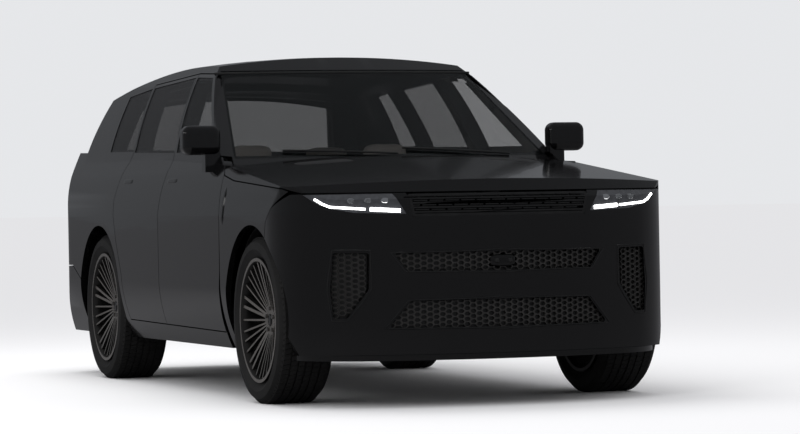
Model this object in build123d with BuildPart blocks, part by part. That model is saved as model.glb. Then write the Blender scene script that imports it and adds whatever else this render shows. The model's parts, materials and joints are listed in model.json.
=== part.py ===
"""Sport utility vehicle, five doors, built as its separate panels, glass, running gear and cabin.

+Z is up, the front faces -Y and +X is the vehicle's left. The origin is on the ground, midway
between the bumpers. All lengths are millimetres. Every body panel is a layer of one of two
hulls, the lower body and the greenhouse, cut by the outline of its shut lines.
"""

import os
from math import cos, radians, sin, sqrt, tan

from build123d import *

os.makedirs("parts", exist_ok=True)

# Overall sizes
FRONT_OVERHANG = 875.0
WHEELBASE = 2997.0
REAR_OVERHANG = 1088.0
BODY_WIDTH = 2006.0
ROOF_HEIGHT = 1770.0
SILL_HEIGHT = 250.0
LENGTH = FRONT_OVERHANG + WHEELBASE + REAR_OVERHANG
NOSE_Y = -LENGTH / 2
TAIL_Y = LENGTH / 2
FRONT_AXLE_Y = NOSE_Y + FRONT_OVERHANG
REAR_AXLE_Y = TAIL_Y - REAR_OVERHANG
HALF = BODY_WIDTH / 2

# Clearances
SHUT = 6.0
SEAT = 0.3

# Wall thicknesses
DOOR_SKIN = 55.0
DOOR_DEPTH = 122.0
POST_DEPTH = 76.0
LOWER_WALL = 130.0
FRAME_STEP = 14.0
RAISE = 30.0
FRAME_DEPTH = 45.0
UPPER_POST = 51.0
UPPER_WALL = 92.0
GLASS_DEPTH = 3.0
GLASS = 5.0
WING_SKIN = 30.0
ROOF_SKIN = 24.0

# Body places
FRONT_END_Y = -1130.0
FIREWALL_Y = -985.0
FIREWALL = 24.0
BONNET_REAR_Y = -1128.0
BELT_HEIGHT = 1215.0
GLASS_LAP = 12.0
LAMP_GAP = 0.8
ROOF_HALF = 575.0
ROOF_Y = (20.0, 1780.0)
ROOF_GLASS_HALF = 430.0
ROOF_GLASS_Y = (110.0, 1330.0)
SPLITTER_Z = 224.0
LINER_WIDTH = 450.0

# Cabin
SEAT_X = 390.0
FRONT_SEAT_Y = -60.0
REAR_SEAT_X = 330.0
REAR_SEAT_Y = 800.0
DASH_HALF = 800.0
STEERING_X = 390.0
WHEEL_GRIP = 180.0
COLUMN_LENGTH = 190.0
COLUMN_RADIUS = 22.0
BOOT_Z = 584.0
TUNNEL_Z = 420.0
ENGINE_BASE = 330.0
ARM_ROOM = 200.0

# Mirrors
MIRROR_X = 1000.0
MIRROR_Y = -740.0
MIRROR_Z = 1303.0
MIRROR_WIDE = 200.0

# Wheels and tyres
TYRE_RADIUS = 406.0
TYRE_WIDTH = 285.0
TYRE_OUTER_X = 985.0
RIM_RADIUS = 296.0
RIM_LIP = 8.0
WHEEL_X = TYRE_OUTER_X - TYRE_WIDTH / 2
WHEEL_Z = TYRE_RADIUS
SPOKE_GROUPS = 5
ARCH_RADIUS = 465.0
REAR_ARCH_RADIUS = 462.0
FRONT_HOUSE_X = 488.0
REAR_HOUSE_X = 676.0
HOUSE_WALL = 8.0
KINGPIN_X = 800.0
DISC_RADIUS = 190.0
DISC_X = -2.0
HUB_FACE = 40.0
HUB_THICK = 26.0
SPOKE_LENGTH = 222.0
# Spokes of one group: angle from its middle and width
SPOKES = ((-5.0, 15.0), (5.0, 15.0), (-19.0, 9.0), (19.0, 9.0), (-31.0, 9.0), (31.0, 9.0))

# Hinge places
DOOR_AXIS_X = HALF - 15.0
DOOR_AXIS_BACK = 35.0
PIN_RADIUS = 7.0
HINGE_Z = (670.0, 870.0)
BONNET_AXIS = (-900.0, 1204.0)
TAIL_AXIS = (1850.0, 1655.0)
TAIL_SEAM = 45.0

# Lower hull: plan of nose, tail and corners
NOSE_SET = 42.0
NOSE_RADIUS = 1780.0
TAIL_RADIUS = 3300.0
NOSE_CORNER = 430.0
TAIL_CORNER = 330.0
HULL_TOP = 1300.0
# Side section: side set in and height, sill flare, waist and shoulder
SILL_SET = (78.0, 24.0)
SILL_BEND = 400.0
WAIST = (640.0, 760.0)
SHOULDER = ((22.0, 1040.0), (62.0, 1155.0), (140.0, HULL_TOP))
# Chamfer of the bonnet's leading edge: height, lean and how far its corners spread
LEAD_HEIGHT = 985.0
LEAD_LEAN = 38.0
LEAD_SPREAD = 260.0
# Tail panel: height where it starts to lean and its lean
TAIL_LEAN_HEIGHT = 760.0
TAIL_LEAN = 14.0
# Bonnet surface, crowned, and belt plane behind it: heights where they meet and slopes in degrees
COWL_Y = -1050.0
BONNET_TOP = 1213.0
BONNET_SLOPE = 6.0
BONNET_CROWN = 48.0
CROWN_HALF = 915.0
BELT_TOP = 1168.0
BELT_SLOPE = 2.2

# Greenhouse: section at the sides, windscreen and tail lines, roof radii
GREEN_BASE = 1150.0
GREEN_SIDE = ((922.0, 1150.0), (838.0, 1420.0), (727.0, 1650.0), (600.0, 1800.0))
SCREEN_FOOT_Y = -1100.0
SCREEN_RUN = 1.766
SCREEN_RADIUS = 2250.0
TAIL_FOOT_Y = 2365.0
TAIL_RUN = 0.758
TAIL_GLASS_RADIUS = 4000.0
TAIL_PILLAR = 240.0
ROOF_PEAK_Y = 480.0
ROOF_LENGTH_RADIUS = 9500.0
ROOF_CROSS_RADIUS = 4970.0


def bow(half_width, radius):
    """Rise of an arc of a radius over a half width."""
    return radius - sqrt(radius**2 - half_width**2)


def plan_outline(height, inset, half_width, corners):
    """Plan outline at a height: bowed nose and tail, straight sides and round corners."""
    nose = NOSE_Y + NOSE_SET + inset
    tail = TAIL_Y - inset
    half = half_width - inset
    front_y = nose + bow(half, NOSE_RADIUS)
    rear_y = tail - bow(half, TAIL_RADIUS)
    with BuildSketch(Plane.XY.offset(height)) as outline:
        with BuildLine():
            ThreePointArc((-half, front_y), (0, nose), (half, front_y))
            Line((half, front_y), (half, rear_y))
            ThreePointArc((half, rear_y), (0, tail), (-half, rear_y))
            Line((-half, rear_y), (-half, front_y))
        make_face()
        fillet(outline.vertices().group_by(Axis.Y)[0], corners[0] - inset)
        fillet(outline.vertices().group_by(Axis.Y)[-1], corners[1] - inset)
    return outline.sketch


def deck(lowered):
    """Everything under the crowned bonnet surface and the belt plane behind it."""
    radius = (CROWN_HALF**2 + BONNET_CROWN**2) / (2 * BONNET_CROWN)
    reach = HALF + 120
    run = 2400.0
    top = BONNET_TOP - lowered
    edge = top - bow(reach, radius)
    fall = run * tan(radians(BONNET_SLOPE))
    slope = Vector(0, -cos(radians(BONNET_SLOPE)), -sin(radians(BONNET_SLOPE)))
    rise = (TAIL_Y + 100 - COWL_Y) * tan(radians(BELT_SLOPE))
    low = SILL_HEIGHT - 50
    with BuildSketch(Plane.XZ.offset(-COWL_Y)) as profile:
        with BuildLine():
            arc = ThreePointArc((-reach, edge), (0, top), (reach, edge))
            Polyline(arc @ 1, (reach, low - fall), (-reach, low - fall), arc @ 0)
        make_face()
    with BuildPart() as block:
        extrude(profile.sketch, amount=run, dir=slope)
        with BuildSketch(Plane.YZ.offset(-reach)):
            with BuildLine():
                Polyline(
                    (COWL_Y, low),
                    (TAIL_Y + 100, low),
                    (TAIL_Y + 100, BELT_TOP - lowered + rise),
                    (COWL_Y, BELT_TOP - lowered),
                    close=True,
                )
            make_face()
        extrude(amount=2 * reach)
    return block.part


def lead_edge():
    """Room outside the chamfered leading edge of the bonnet."""
    corners = (NOSE_CORNER + LEAD_SPREAD, TAIL_CORNER)
    level = plan_outline(LEAD_HEIGHT, 0.0, HALF + LEAD_SPREAD, corners)
    with BuildPart() as room:
        with Locations((0, (NOSE_Y + FRONT_AXLE_Y) / 2 - 50, LEAD_HEIGHT + 140)):
            Box(2800, FRONT_OVERHANG + 100, 280)
        extrude(level, amount=300, taper=LEAD_LEAN, mode=Mode.SUBTRACT)
    return room.part


def side_section(inset):
    """Section of the lower body across the vehicle, extruded over its whole length."""
    low, bend = (HALF - inset - x for x in SILL_SET)
    waist = HALF - inset
    shoulder = [(waist - x, z) for x, z in SHOULDER]
    with BuildPart() as block:
        with BuildSketch(Plane.XZ.offset(-TAIL_Y - 100)):
            with BuildLine():
                ThreePointArc((low, SILL_HEIGHT), (bend, SILL_BEND), (waist, WAIST[0]))
                Line((waist, WAIST[0]), (waist, WAIST[1]))
                ThreePointArc((waist, WAIST[1]), shoulder[0], shoulder[1])
                Polyline(shoulder[1], shoulder[2], (0, HULL_TOP), (0, SILL_HEIGHT), (low, SILL_HEIGHT))
            make_face()
            mirror(about=Plane.YZ)
        extrude(amount=LENGTH + 200)
    return block.part


def tail_wedge(inset):
    """Room behind the leaning tail panel."""
    foot = TAIL_Y - inset
    climb = HULL_TOP + 100 - TAIL_LEAN_HEIGHT
    with BuildPart() as wedge:
        with BuildSketch(Plane.YZ.offset(-1200)):
            with BuildLine():
                Polyline(
                    (foot, TAIL_LEAN_HEIGHT),
                    (foot + 300, TAIL_LEAN_HEIGHT),
                    (foot + 300, TAIL_LEAN_HEIGHT + climb),
                    (foot - climb * tan(radians(TAIL_LEAN)), TAIL_LEAN_HEIGHT + climb),
                    close=True,
                )
            make_face()
        extrude(amount=2400)
    return wedge.part


def lower_hull(inset=0.0, drop=None, lead=False):
    """Lower body from sill to shoulder, shrunk by an inset and lowered by a drop."""
    drop = inset if drop is None else drop
    with BuildPart() as hull:
        outline = plan_outline(SILL_HEIGHT, inset, HALF, (NOSE_CORNER, TAIL_CORNER))
        extrude(outline, amount=HULL_TOP - SILL_HEIGHT)
        add(side_section(inset), mode=Mode.INTERSECT)
        add(deck(drop), mode=Mode.INTERSECT)
        add(tail_wedge(inset), mode=Mode.SUBTRACT)
        if lead:
            with Locations((0, inset, -inset / 2)):
                add(LEAD, mode=Mode.SUBTRACT)
    return hull.part


def under_roof(lowered):
    """Everything below the roof, curved lengthwise and across, lowered by a distance."""
    reach = HALF
    top = ROOF_HEIGHT - lowered
    edge = top - bow(reach, ROOF_CROSS_RADIUS)
    swing = 17.0
    centre = (0, ROOF_PEAK_Y, ROOF_HEIGHT - ROOF_LENGTH_RADIUS)
    with BuildPart() as block:
        with BuildSketch(Plane.XZ.offset(-ROOF_PEAK_Y)) as profile:
            with BuildLine():
                ThreePointArc((-reach, edge), (0, top), (reach, edge))
                Polyline((reach, edge), (reach, 900.0), (-reach, 900.0), (-reach, edge))
            make_face()
        turned = profile.sketch.rotate(Axis(centre, (1, 0, 0)), -swing)
        revolve(turned, axis=Axis(centre, (1, 0, 0)), revolution_arc=2 * swing)
    return block.part


def sheared(foot_y, run, radius, inset, towards, corner=0.0):
    """Block behind a bowed glass surface that leans by a run for each unit of height."""
    base = GREEN_BASE - 10
    foot = foot_y + (base - GREEN_BASE) * run * towards + inset * towards
    half = 1200.0 if not corner else GREEN_SIDE[0][0] - inset
    side_y = foot + bow(half, radius) * towards
    far = foot + 6000.0 * towards
    with BuildPart() as block:
        with BuildSketch(Plane.XY.offset(base)) as outline:
            with BuildLine():
                ThreePointArc((-half, side_y), (0, foot), (half, side_y))
                Polyline((half, side_y), (half, far), (-half, far), (-half, side_y))
            make_face()
            if corner:
                group = 0 if towards > 0 else -1
                fillet(outline.vertices().group_by(Axis.Y)[group], corner - inset)
        height = 700.0
        extrude(
            outline.sketch,
            amount=height * sqrt(1 + run**2),
            dir=Vector(0, run * towards, 1).normalized(),
        )
    return block.part


def green_sides(inset):
    """Greenhouse section, curved at the sides, extruded over the whole length."""
    points = [(x - inset, z) for x, z in GREEN_SIDE]
    with BuildPart() as block:
        with BuildSketch(Plane.XZ.offset(-TAIL_Y)):
            with BuildLine():
                ThreePointArc(*points[:3])
                Polyline(points[2], points[3], (0, GREEN_SIDE[-1][1]), (0, GREEN_BASE), points[0])
            make_face()
            mirror(about=Plane.YZ)
        extrude(amount=LENGTH)
    return block.part


def upper_hull(inset=0.0, drop=None):
    """Greenhouse from the shoulder to the roof, shrunk by an inset and lowered by a drop."""
    with BuildPart() as hull:
        add(green_sides(inset))
        add(sheared(SCREEN_FOOT_Y, SCREEN_RUN, SCREEN_RADIUS, inset, 1), mode=Mode.INTERSECT)
        add(
            sheared(TAIL_FOOT_Y, TAIL_RUN, TAIL_GLASS_RADIUS, inset, -1, TAIL_PILLAR),
            mode=Mode.INTERSECT,
        )
        add(under_roof(inset if drop is None else drop), mode=Mode.INTERSECT)
    return hull.part


def left_half(piece):
    """The half of a piece on the vehicle's left."""
    with BuildPart() as half:
        add(piece)
        split(bisect_by=Plane.YZ)
    return half.part


def side_block(points, grow=0.0, radius=0.0, inner=300.0, outer=1150.0):
    """Block on the left side behind an outline drawn in side view."""
    with BuildPart() as block:
        with BuildSketch(Plane.YZ.offset(inner)) as face:
            with BuildLine():
                Polyline(*points, close=True)
            make_face()
            if radius:
                fillet(face.vertices(), radius)
            if grow:
                offset(amount=grow, kind=Kind.INTERSECTION)
        extrude(amount=outer - inner)
    return block.part


def front_block(points, y_from, y_to, grow=0.0, radius=0.0):
    """Block behind an outline drawn in front view, from one lengthwise place to another."""
    with BuildPart() as block:
        with BuildSketch(Plane.XZ.offset(-y_from)) as face:
            with BuildLine():
                Polyline(*points, close=True)
            make_face()
            if radius:
                fillet(face.vertices(), radius)
            if grow:
                offset(amount=grow, kind=Kind.INTERSECTION)
        extrude(amount=y_from - y_to)
    return block.part


def box_between(low, high):
    """Plain block between two corners."""
    size = [b - a for a, b in zip(low, high)]
    with BuildPart() as block:
        with Locations(tuple((a + b) / 2 for a, b in zip(low, high))):
            Box(*size)
    return block.part


def mirrored(piece):
    """The same piece on the right side."""
    with BuildPart() as other:
        add(mirror(piece, about=Plane.YZ, mode=Mode.PRIVATE))
    return other.part


def both_sides(piece):
    """A left piece and its mirror image as one part."""
    with BuildPart() as pair:
        add(piece)
        mirror(about=Plane.YZ)
    return pair.part


def union(*pieces):
    """Several pieces joined into one part."""
    with BuildPart() as whole:
        add(pieces)
    return whole.part


def less(piece, *cuts):
    """A piece with other pieces cut away."""
    with BuildPart() as rest:
        add(piece)
        add(cuts, mode=Mode.SUBTRACT)
    return rest.part


def within(piece, block):
    """The part of a piece that lies in a block."""
    with BuildPart() as common:
        add(piece)
        add(block, mode=Mode.INTERSECT)
    return common.part


def save(piece, name):
    """Labels a finished piece and writes its file."""
    piece.label = name
    export_step(piece, f"parts/{name}.step")
    return piece


def shifted(piece, x=0.0, y=0.0, z=0.0):
    """A copy of a piece moved along the axes."""
    with BuildPart() as copy_of:
        with Locations((x, y, z)):
            add(piece)
    return copy_of.part


def cylinder_x(radius, x_from, x_to, y, z):
    """Solid cylinder along X."""
    with BuildPart() as drum:
        with BuildSketch(Plane.YZ.offset(x_from)):
            with Locations((y, z)):
                Circle(radius)
        extrude(amount=x_to - x_from)
    return drum.part


# Hull layers that the panels are made from, left half
LEAD = lead_edge()
L0 = left_half(lower_hull(lead=True))
L_WING = left_half(lower_hull(WING_SKIN, lead=True))
L_SKIN = left_half(lower_hull(DOOR_SKIN, 34.0, lead=True))
L_SHELF = left_half(lower_hull(DOOR_SKIN + SEAT, 34.0 + SEAT))
L_BACK = left_half(lower_hull(WING_SKIN + SEAT))
L_PAD = left_half(lower_hull(WING_SKIN + SEAT, lead=True))
L_POST = left_half(lower_hull(POST_DEPTH, 42.0))
L_WALL = left_half(lower_hull(LOWER_WALL, 60.0))
D_SKIN = left_half(lower_hull(DOOR_SKIN, -RAISE))
D_POST = left_half(lower_hull(POST_DEPTH, -RAISE))
D_BOX = left_half(lower_hull(DOOR_DEPTH, -RAISE))
U0 = left_half(upper_hull())
U_GLASS = left_half(upper_hull(GLASS_DEPTH))
U_PANE = left_half(upper_hull(GLASS_DEPTH + GLASS))
U_RABBET = left_half(upper_hull(GLASS_DEPTH + GLASS + SEAT))
U_FRAME = left_half(upper_hull(FRAME_DEPTH))
U_POST = left_half(upper_hull(UPPER_POST))
U_WALL = left_half(upper_hull(UPPER_WALL, 46.0))
G_PANE = left_half(green_sides(GLASS_DEPTH + GLASS))
G_FRAME = left_half(green_sides(FRAME_DEPTH))
G_POST = left_half(green_sides(UPPER_POST))

# Side-view outlines, lengthwise place and height
DOOR_FRONT_Y = FRONT_AXLE_Y + 545
B_LINE_Y = 100.0
FRONT_DOOR = (
    (-1010.0, 335.0),
    (-1055.0, 640.0),
    (DOOR_FRONT_Y, 930.0),
    (-1003.0, 1128.0),
    (-915.0, 1192.0),
    (-735.0, 1226.0),
    (-78.0, 1666.0),
    (291.0, 1682.0),
    (B_LINE_Y + 10, 1200.0),
    (B_LINE_Y - 6, 345.0),
)
FRONT_BOX = (
    (-950.0, 430.0),
    (-968.0, 640.0),
    (-970.0, 930.0),
    (-900.0, 1100.0),
    (-700.0, 1165.0),
    (45.0, 1175.0),
    (36.0, 430.0),
)
FRONT_OPEN = (
    (-962.0, 405.0),
    (-982.0, 640.0),
    (-984.0, 930.0),
    (-915.0, 1120.0),
    (-625.0, 1235.0),
    (-50.0, 1622.0),
    (232.0, 1634.0),
    (64.0, 1195.0),
    (52.0, 405.0),
)
FRONT_WINDOW = (
    (-618.0, 1258.0),
    (-52.0, 1636.0),
    (245.0, 1650.0),
    (82.0, 1268.0),
)
REAR_DOOR = (
    (B_LINE_Y, 345.0),
    (B_LINE_Y + 16, 1200.0),
    (297.0, 1682.0),
    (1112.0, 1652.0),
    (1000.0, 1330.0),
    (1004.0, 1270.0),
    (1058.0, 1180.0),
    (1082.0, 1010.0),
    (1005.0, 790.0),
    (895.0, 600.0),
    (842.0, 352.0),
)
REAR_BOX = (
    (172.0, 430.0),
    (182.0, 1180.0),
    (900.0, 1190.0),
    (965.0, 1000.0),
    (885.0, 800.0),
    (795.0, 620.0),
    (768.0, 430.0),
)
REAR_OPEN = (
    (156.0, 405.0),
    (166.0, 1195.0),
    (330.0, 1634.0),
    (1062.0, 1606.0),
    (952.0, 1300.0),
    (955.0, 1240.0),
    (1000.0, 1120.0),
    (985.0, 985.0),
    (905.0, 790.0),
    (815.0, 610.0),
    (782.0, 405.0),
)
REAR_WINDOW = (
    (150.0, 1268.0),
    (318.0, 1652.0),
    (1078.0, 1624.0),
    (968.0, 1308.0),
    (972.0, 1286.0),
)
QUARTER = (
    (1025.0, 1292.0),
    (1146.0, 1622.0),
    (1560.0, 1592.0),
    (1530.0, 1300.0),
)
BONNET_LINE = (
    (NOSE_Y - 60, 1016.0),
    (-2150.0, 1019.0),
    (-2040.0, 1046.0),
    (FRONT_AXLE_Y + 388, 1094.0),
    (-1024.0, 1122.0),
    (-1008.0, 1134.0),
    (-920.0, 1198.0),
    (-880.0, 1206.0),
    (-880.0, 1420.0),
    (NOSE_Y - 60, 1420.0),
)
WING_LINE = (
    (-1072.0, SILL_HEIGHT - 40),
    (-1061.0 - SHUT, 640.0),
    (DOOR_FRONT_Y - SHUT, 930.0),
    (-1012.0, 1118.0),
    (-1024.0, 1122.0 - SHUT),
    (FRONT_AXLE_Y + 388, 1094.0 - SHUT),
    (-2040.0, 1046.0 - SHUT),
    (-2082.0, 1034.0 - SHUT),
    (-1945.0 + SHUT, 952.0),
    (-1864.0 + SHUT, 884.0),
    (-1822.0 + SHUT, 750.0),
    (FRONT_AXLE_Y - 194, 600.0),
    (FRONT_AXLE_Y - 100, 400.0),
    (FRONT_AXLE_Y + 300, SILL_HEIGHT - 40),
)
REAR_BUMPER = (
    (REAR_AXLE_Y + 380, SILL_HEIGHT - 40),
    (REAR_AXLE_Y + 440, 560.0),
    (2010.0, 632.0),
    (TAIL_Y + 60, 632.0),
    (TAIL_Y + 60, SILL_HEIGHT - 40),
)
BUMPER_LINE = (
    (NOSE_Y - 60, SILL_HEIGHT - 40),
    (FRONT_AXLE_Y - 200, SILL_HEIGHT - 40),
    (FRONT_AXLE_Y - 200, 600.0),
    (-1822.0, 750.0),
    (-1864.0, 884.0),
    (-1945.0, 952.0),
    (-2090.0, 1013.0),
    (NOSE_Y - 60, 1013.0),
)
FRONT_LAMP = (
    (466.0, 914.0),
    (700.0, 922.0),
    (806.0, 945.0),
    (866.0, 976.0),
    (905.0, 1010.0),
    (522.0, 1010.0),
)
GRILLE = ((-436.0, 900.0), (-457.6, 1008.0), (457.6, 1008.0), (436.0, 900.0))
GRILLE_HOLE = ((-436.0, 900.0), (-460.0, 1020.0), (460.0, 1020.0), (436.0, 900.0))
UPPER_MESH = ((-462.0, 641.0), (-527.0, 731.0), (527.0, 731.0), (462.0, 641.0))
LOWER_MESH = ((-560.0, 375.0), (-450.0, 505.0), (450.0, 505.0), (560.0, 375.0))
SIDE_MESH = (
    (640.0, 560.0),
    (636.0, 733.0),
    (792.0, 735.0),
    (806.0, 560.0),
    (796.0, 425.0),
    (735.0, 425.0),
)
MESHES = ((UPPER_MESH, 10.0), (LOWER_MESH, 14.0), (SIDE_MESH, 12.0))
TAILGATE = (
    (-700.0, 640.0),
    (-742.0, 900.0),
    (-716.0, 1240.0),
    (-575.0, 1760.0),
    (575.0, 1760.0),
    (716.0, 1240.0),
    (742.0, 900.0),
    (700.0, 640.0),
)
TAIL_WINDOW = ((-640.0, 1290.0), (-560.0, 1600.0), (560.0, 1600.0), (640.0, 1290.0))
TAIL_LAMP = ((762.0, 800.0), (762.0, 900.0), (742.0, 1190.0), (800.0, 1190.0), (826.0, 800.0))
WINDSCREEN = ((-832.0, 1218.0), (-676.0, 1672.0), (676.0, 1672.0), (832.0, 1218.0))


def layer(outer, inner, block):
    """The part of a block that lies between two hull layers."""
    return less(within(outer, block), inner)


def above(piece, height):
    """The part of a piece over a height."""
    return within(piece, box_between((-1300, -3000, height), (1300, 3000, 2000)))


def plan_block(half_width, y_from, y_to, z_from, z_to, radius):
    """Block with rounded corners in plan view."""
    with BuildPart() as block:
        with BuildSketch(Plane.XY.offset(z_from)):
            with Locations((0, (y_from + y_to) / 2)):
                RectangleRounded(2 * half_width, y_to - y_from, radius)
        extrude(amount=z_to - z_from)
    return block.part


def window_cut(window):
    """Opening of a side window with the rabbet that its pane seats in."""
    return union(
        side_block(window, radius=14.0),
        less(above(side_block(window, grow=GLASS_LAP + SEAT), BELT_HEIGHT), U_RABBET),
    )


def pane(window):
    """Left side glass behind a window outline, seated in the frame's rabbet."""
    return layer(U_GLASS, U_PANE, above(side_block(window, grow=GLASS_LAP), BELT_HEIGHT + SEAT))


def door_panel(outline, box, window, axis_y):
    """Left door: outer layer, inner box, window frame with its rabbet, and two hinge pockets."""
    panel = union(
        layer(L0, D_SKIN, side_block(outline)),
        layer(L_WING, D_BOX, side_block(box)),
        layer(U0, G_PANE, side_block(outline)),
        layer(U_GLASS, G_FRAME, side_block(outline, grow=-FRAME_STEP)),
    )
    pockets = [
        box_between(
            (DOOR_AXIS_X - 160, axis_y - 200, height - 24),
            (DOOR_AXIS_X + PIN_RADIUS + 1.5, axis_y + PIN_RADIUS + 3, height + 24),
        )
        for height in HINGE_Z
    ]
    with BuildPart() as door:
        add(less(panel, window_cut(window), *pockets))
        for height in HINGE_Z:
            with Locations((DOOR_AXIS_X, axis_y, height + 12.15)):
                Cylinder(PIN_RADIUS, 23.7)
            with Locations((DOOR_AXIS_X - 8, axis_y + 12, height + 12.15)):
                Box(16, 24, 23.7)
    return door.part


def hinge_leaves(axis_y):
    """Post half of a door's two hinges: a knuckle below the door's and an arm to the post."""
    with BuildPart() as leaves:
        for height in HINGE_Z:
            with Locations((DOOR_AXIS_X, axis_y, height - 12)):
                Cylinder(PIN_RADIUS, 23.4)
            with Locations((DOOR_AXIS_X - 45, axis_y, height - 12)):
                Box(90, 2 * PIN_RADIUS, 23.4)
    return leaves.part


def bonnet_block(grow):
    """Room that the bonnet takes: over its side line and ahead of its bowed rear edge."""
    with BuildPart() as block:
        add(side_block(BONNET_LINE, grow=grow, inner=-10.0))
        with BuildSketch(Plane.XY.offset(900)):
            with BuildLine():
                rear = ThreePointArc(
                    (-1150, BONNET_REAR_Y + 330 + grow),
                    (0, BONNET_REAR_Y + grow),
                    (1150, BONNET_REAR_Y + 330 + grow),
                )
                Polyline(rear @ 1, (1150, NOSE_Y - 100), (-1150, NOSE_Y - 100), rear @ 0)
            make_face()
        extrude(amount=700, mode=Mode.INTERSECT)
    return block.part


def tail_block(grow):
    """Room that the tailgate takes: its rear-view outline behind the round seam at its hinges."""
    edge = TAIL_AXIS[0]
    return less(
        front_block(TAILGATE, TAIL_Y + 60, edge - 10 - grow, grow=grow),
        cylinder_x(TAIL_SEAM - grow, -1150, 1150, *TAIL_AXIS),
    )


FRONT_DOOR_AXIS = DOOR_FRONT_Y + DOOR_AXIS_BACK
REAR_DOOR_AXIS = B_LINE_Y + DOOR_AXIS_BACK


def body_shell():
    """Roof rails, pillars, sills, rear quarters, firewall and cowl, open for every panel."""
    wing_rear = side_block(
        (
            (FRONT_END_Y - 60, 200.0),
            (FRONT_END_Y - 60, 1108.0),
            (-1003.0, 1128.0),
            (DOOR_FRONT_Y, 930.0),
            (-1010.0, 200.0),
        )
    )
    shell = union(within(L0, box_between((-10, FRONT_END_Y, 0), (1300, TAIL_Y + 60, 1400))), U0)
    tail_room = tail_block(SHUT)
    cuts = [
        within(L_WALL, box_between((-10, FIREWALL_Y, 0), (1300, TAIL_Y, 1400))),
        U_WALL,
        within(shifted(U_WALL, z=-50), box_between((-10, -960, 1000), (1300, 2200, 1200))),
        box_between((-10, FRONT_END_Y - 1, 200), (845, FIREWALL_Y - FIREWALL, 1120)),
        layer(L0, D_POST, wing_rear),
        layer(L0, D_POST, side_block(FRONT_DOOR, grow=SHUT)),
        layer(L0, D_POST, side_block(REAR_DOOR, grow=SHUT)),
        layer(U0, G_POST, side_block(FRONT_DOOR, grow=SHUT)),
        layer(U0, G_POST, side_block(REAR_DOOR, grow=SHUT)),
        side_block(FRONT_OPEN),
        side_block(REAR_OPEN),
        window_cut(QUARTER),
        cylinder_x(REAR_ARCH_RADIUS, REAR_HOUSE_X, 1150, REAR_AXLE_Y, WHEEL_Z),
        less(front_block(WINDSCREEN, 20.0, -1300.0, grow=GLASS_LAP + SEAT), U_RABBET),
        front_block(WINDSCREEN, 20.0, -1300.0),
        less(plan_block(ROOF_HALF + SHUT, *ROOF_Y, 1500, 1900, 60), under_roof(ROOF_SKIN + SEAT)),
        plan_block(ROOF_HALF - 50, ROOF_Y[0] + 50, ROOF_Y[1] - 50, 1500, 1900, 30),
        bonnet_block(SHUT),
        layer(L0, L_POST, tail_room),
        layer(U0, U_POST, tail_room),
        front_block(TAILGATE, TAIL_Y + 60, TAIL_AXIS[0] + 90, grow=-50.0),
        layer(L0, L_BACK, side_block(REAR_BUMPER, grow=SHUT, inner=-10.0)),
        layer(L0, L_WING, front_block(TAIL_LAMP, TAIL_Y + 60, 2000.0, grow=LAMP_GAP)),
    ]
    stop = layer(L_SHELF, L_WALL, box_between((660, 2200, 800), (715, TAIL_Y, 840)))
    half = union(
        less(shell, *cuts), stop, hinge_leaves(FRONT_DOOR_AXIS), hinge_leaves(REAR_DOOR_AXIS)
    )
    return both_sides(half)


BODY = body_shell()
save(BODY, "body_shell")

DOOR_FL = door_panel(FRONT_DOOR, FRONT_BOX, FRONT_WINDOW, FRONT_DOOR_AXIS)
DOOR_RL = door_panel(REAR_DOOR, REAR_BOX, REAR_WINDOW, REAR_DOOR_AXIS)
PANE_FL = pane(FRONT_WINDOW)
PANE_RL = pane(REAR_WINDOW)
for piece, name in (
    (DOOR_FL, "door_front"),
    (DOOR_RL, "door_rear"),
    (PANE_FL, "door_front_glass"),
    (PANE_RL, "door_rear_glass"),
):
    save(piece, name + "_left")
    save(mirrored(piece), name + "_right")
save(both_sides(pane(QUARTER)), "quarter_glasses")

# Windscreen and roof
save(
    both_sides(layer(U_GLASS, U_PANE, front_block(WINDSCREEN, 20.0, -1300.0, grow=GLASS_LAP))),
    "windscreen",
)
GLASS_ROOM = plan_block(ROOF_GLASS_HALF, *ROOF_GLASS_Y, 1500, 1900, 60)
GLASS_HOLE = plan_block(
    ROOF_GLASS_HALF - 15, ROOF_GLASS_Y[0] + 15, ROOF_GLASS_Y[1] - 15, 1500, 1900, 45
)
ROOF_PANEL = less(
    within(U0, plan_block(ROOF_HALF, ROOF_Y[0] + SHUT, ROOF_Y[1] - SHUT, 1500, 1900, 54)),
    under_roof(ROOF_SKIN),
    less(GLASS_ROOM, under_roof(8.0)),
    GLASS_HOLE,
)
save(both_sides(ROOF_PANEL), "roof")
with BuildPart() as roof_glass:
    add(within(under_roof(1.0), plan_block(
        ROOF_GLASS_HALF - 2, ROOF_GLASS_Y[0] + 2, ROOF_GLASS_Y[1] - 2, 1500, 1900, 58)))
    add(under_roof(8.0 - SEAT), mode=Mode.SUBTRACT)
save(roof_glass.part, "roof_glass")

# Bonnet, wings and bumpers
save(both_sides(layer(L0, L_WING, bonnet_block(0.0))), "bonnet")
WING = less(
    layer(L0, L_WING, side_block(WING_LINE)),
    cylinder_x(ARCH_RADIUS, 300, 1150, FRONT_AXLE_Y, WHEEL_Z),
    front_block(FRONT_LAMP, -1700.0, NOSE_Y - 60, grow=LAMP_GAP),
)
save(both_sides(WING), "front_wings")
BUMPER = less(
    layer(L0, L_SKIN, side_block(BUMPER_LINE, inner=-10.0)),
    cylinder_x(ARCH_RADIUS, 300, 1150, FRONT_AXLE_Y, WHEEL_Z),
    front_block(FRONT_LAMP, -1700.0, NOSE_Y - 60, grow=LAMP_GAP),
    front_block(GRILLE_HOLE, -2200.0, NOSE_Y - 60),
    *[front_block(line, -1950.0, NOSE_Y - 60, radius=round_by) for line, round_by in MESHES],
)
save(both_sides(BUMPER), "front_bumper")
save(
    both_sides(layer(L0, L_SKIN, front_block(FRONT_LAMP, -1860.0, NOSE_Y - 60))),
    "headlamps",
)
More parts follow.
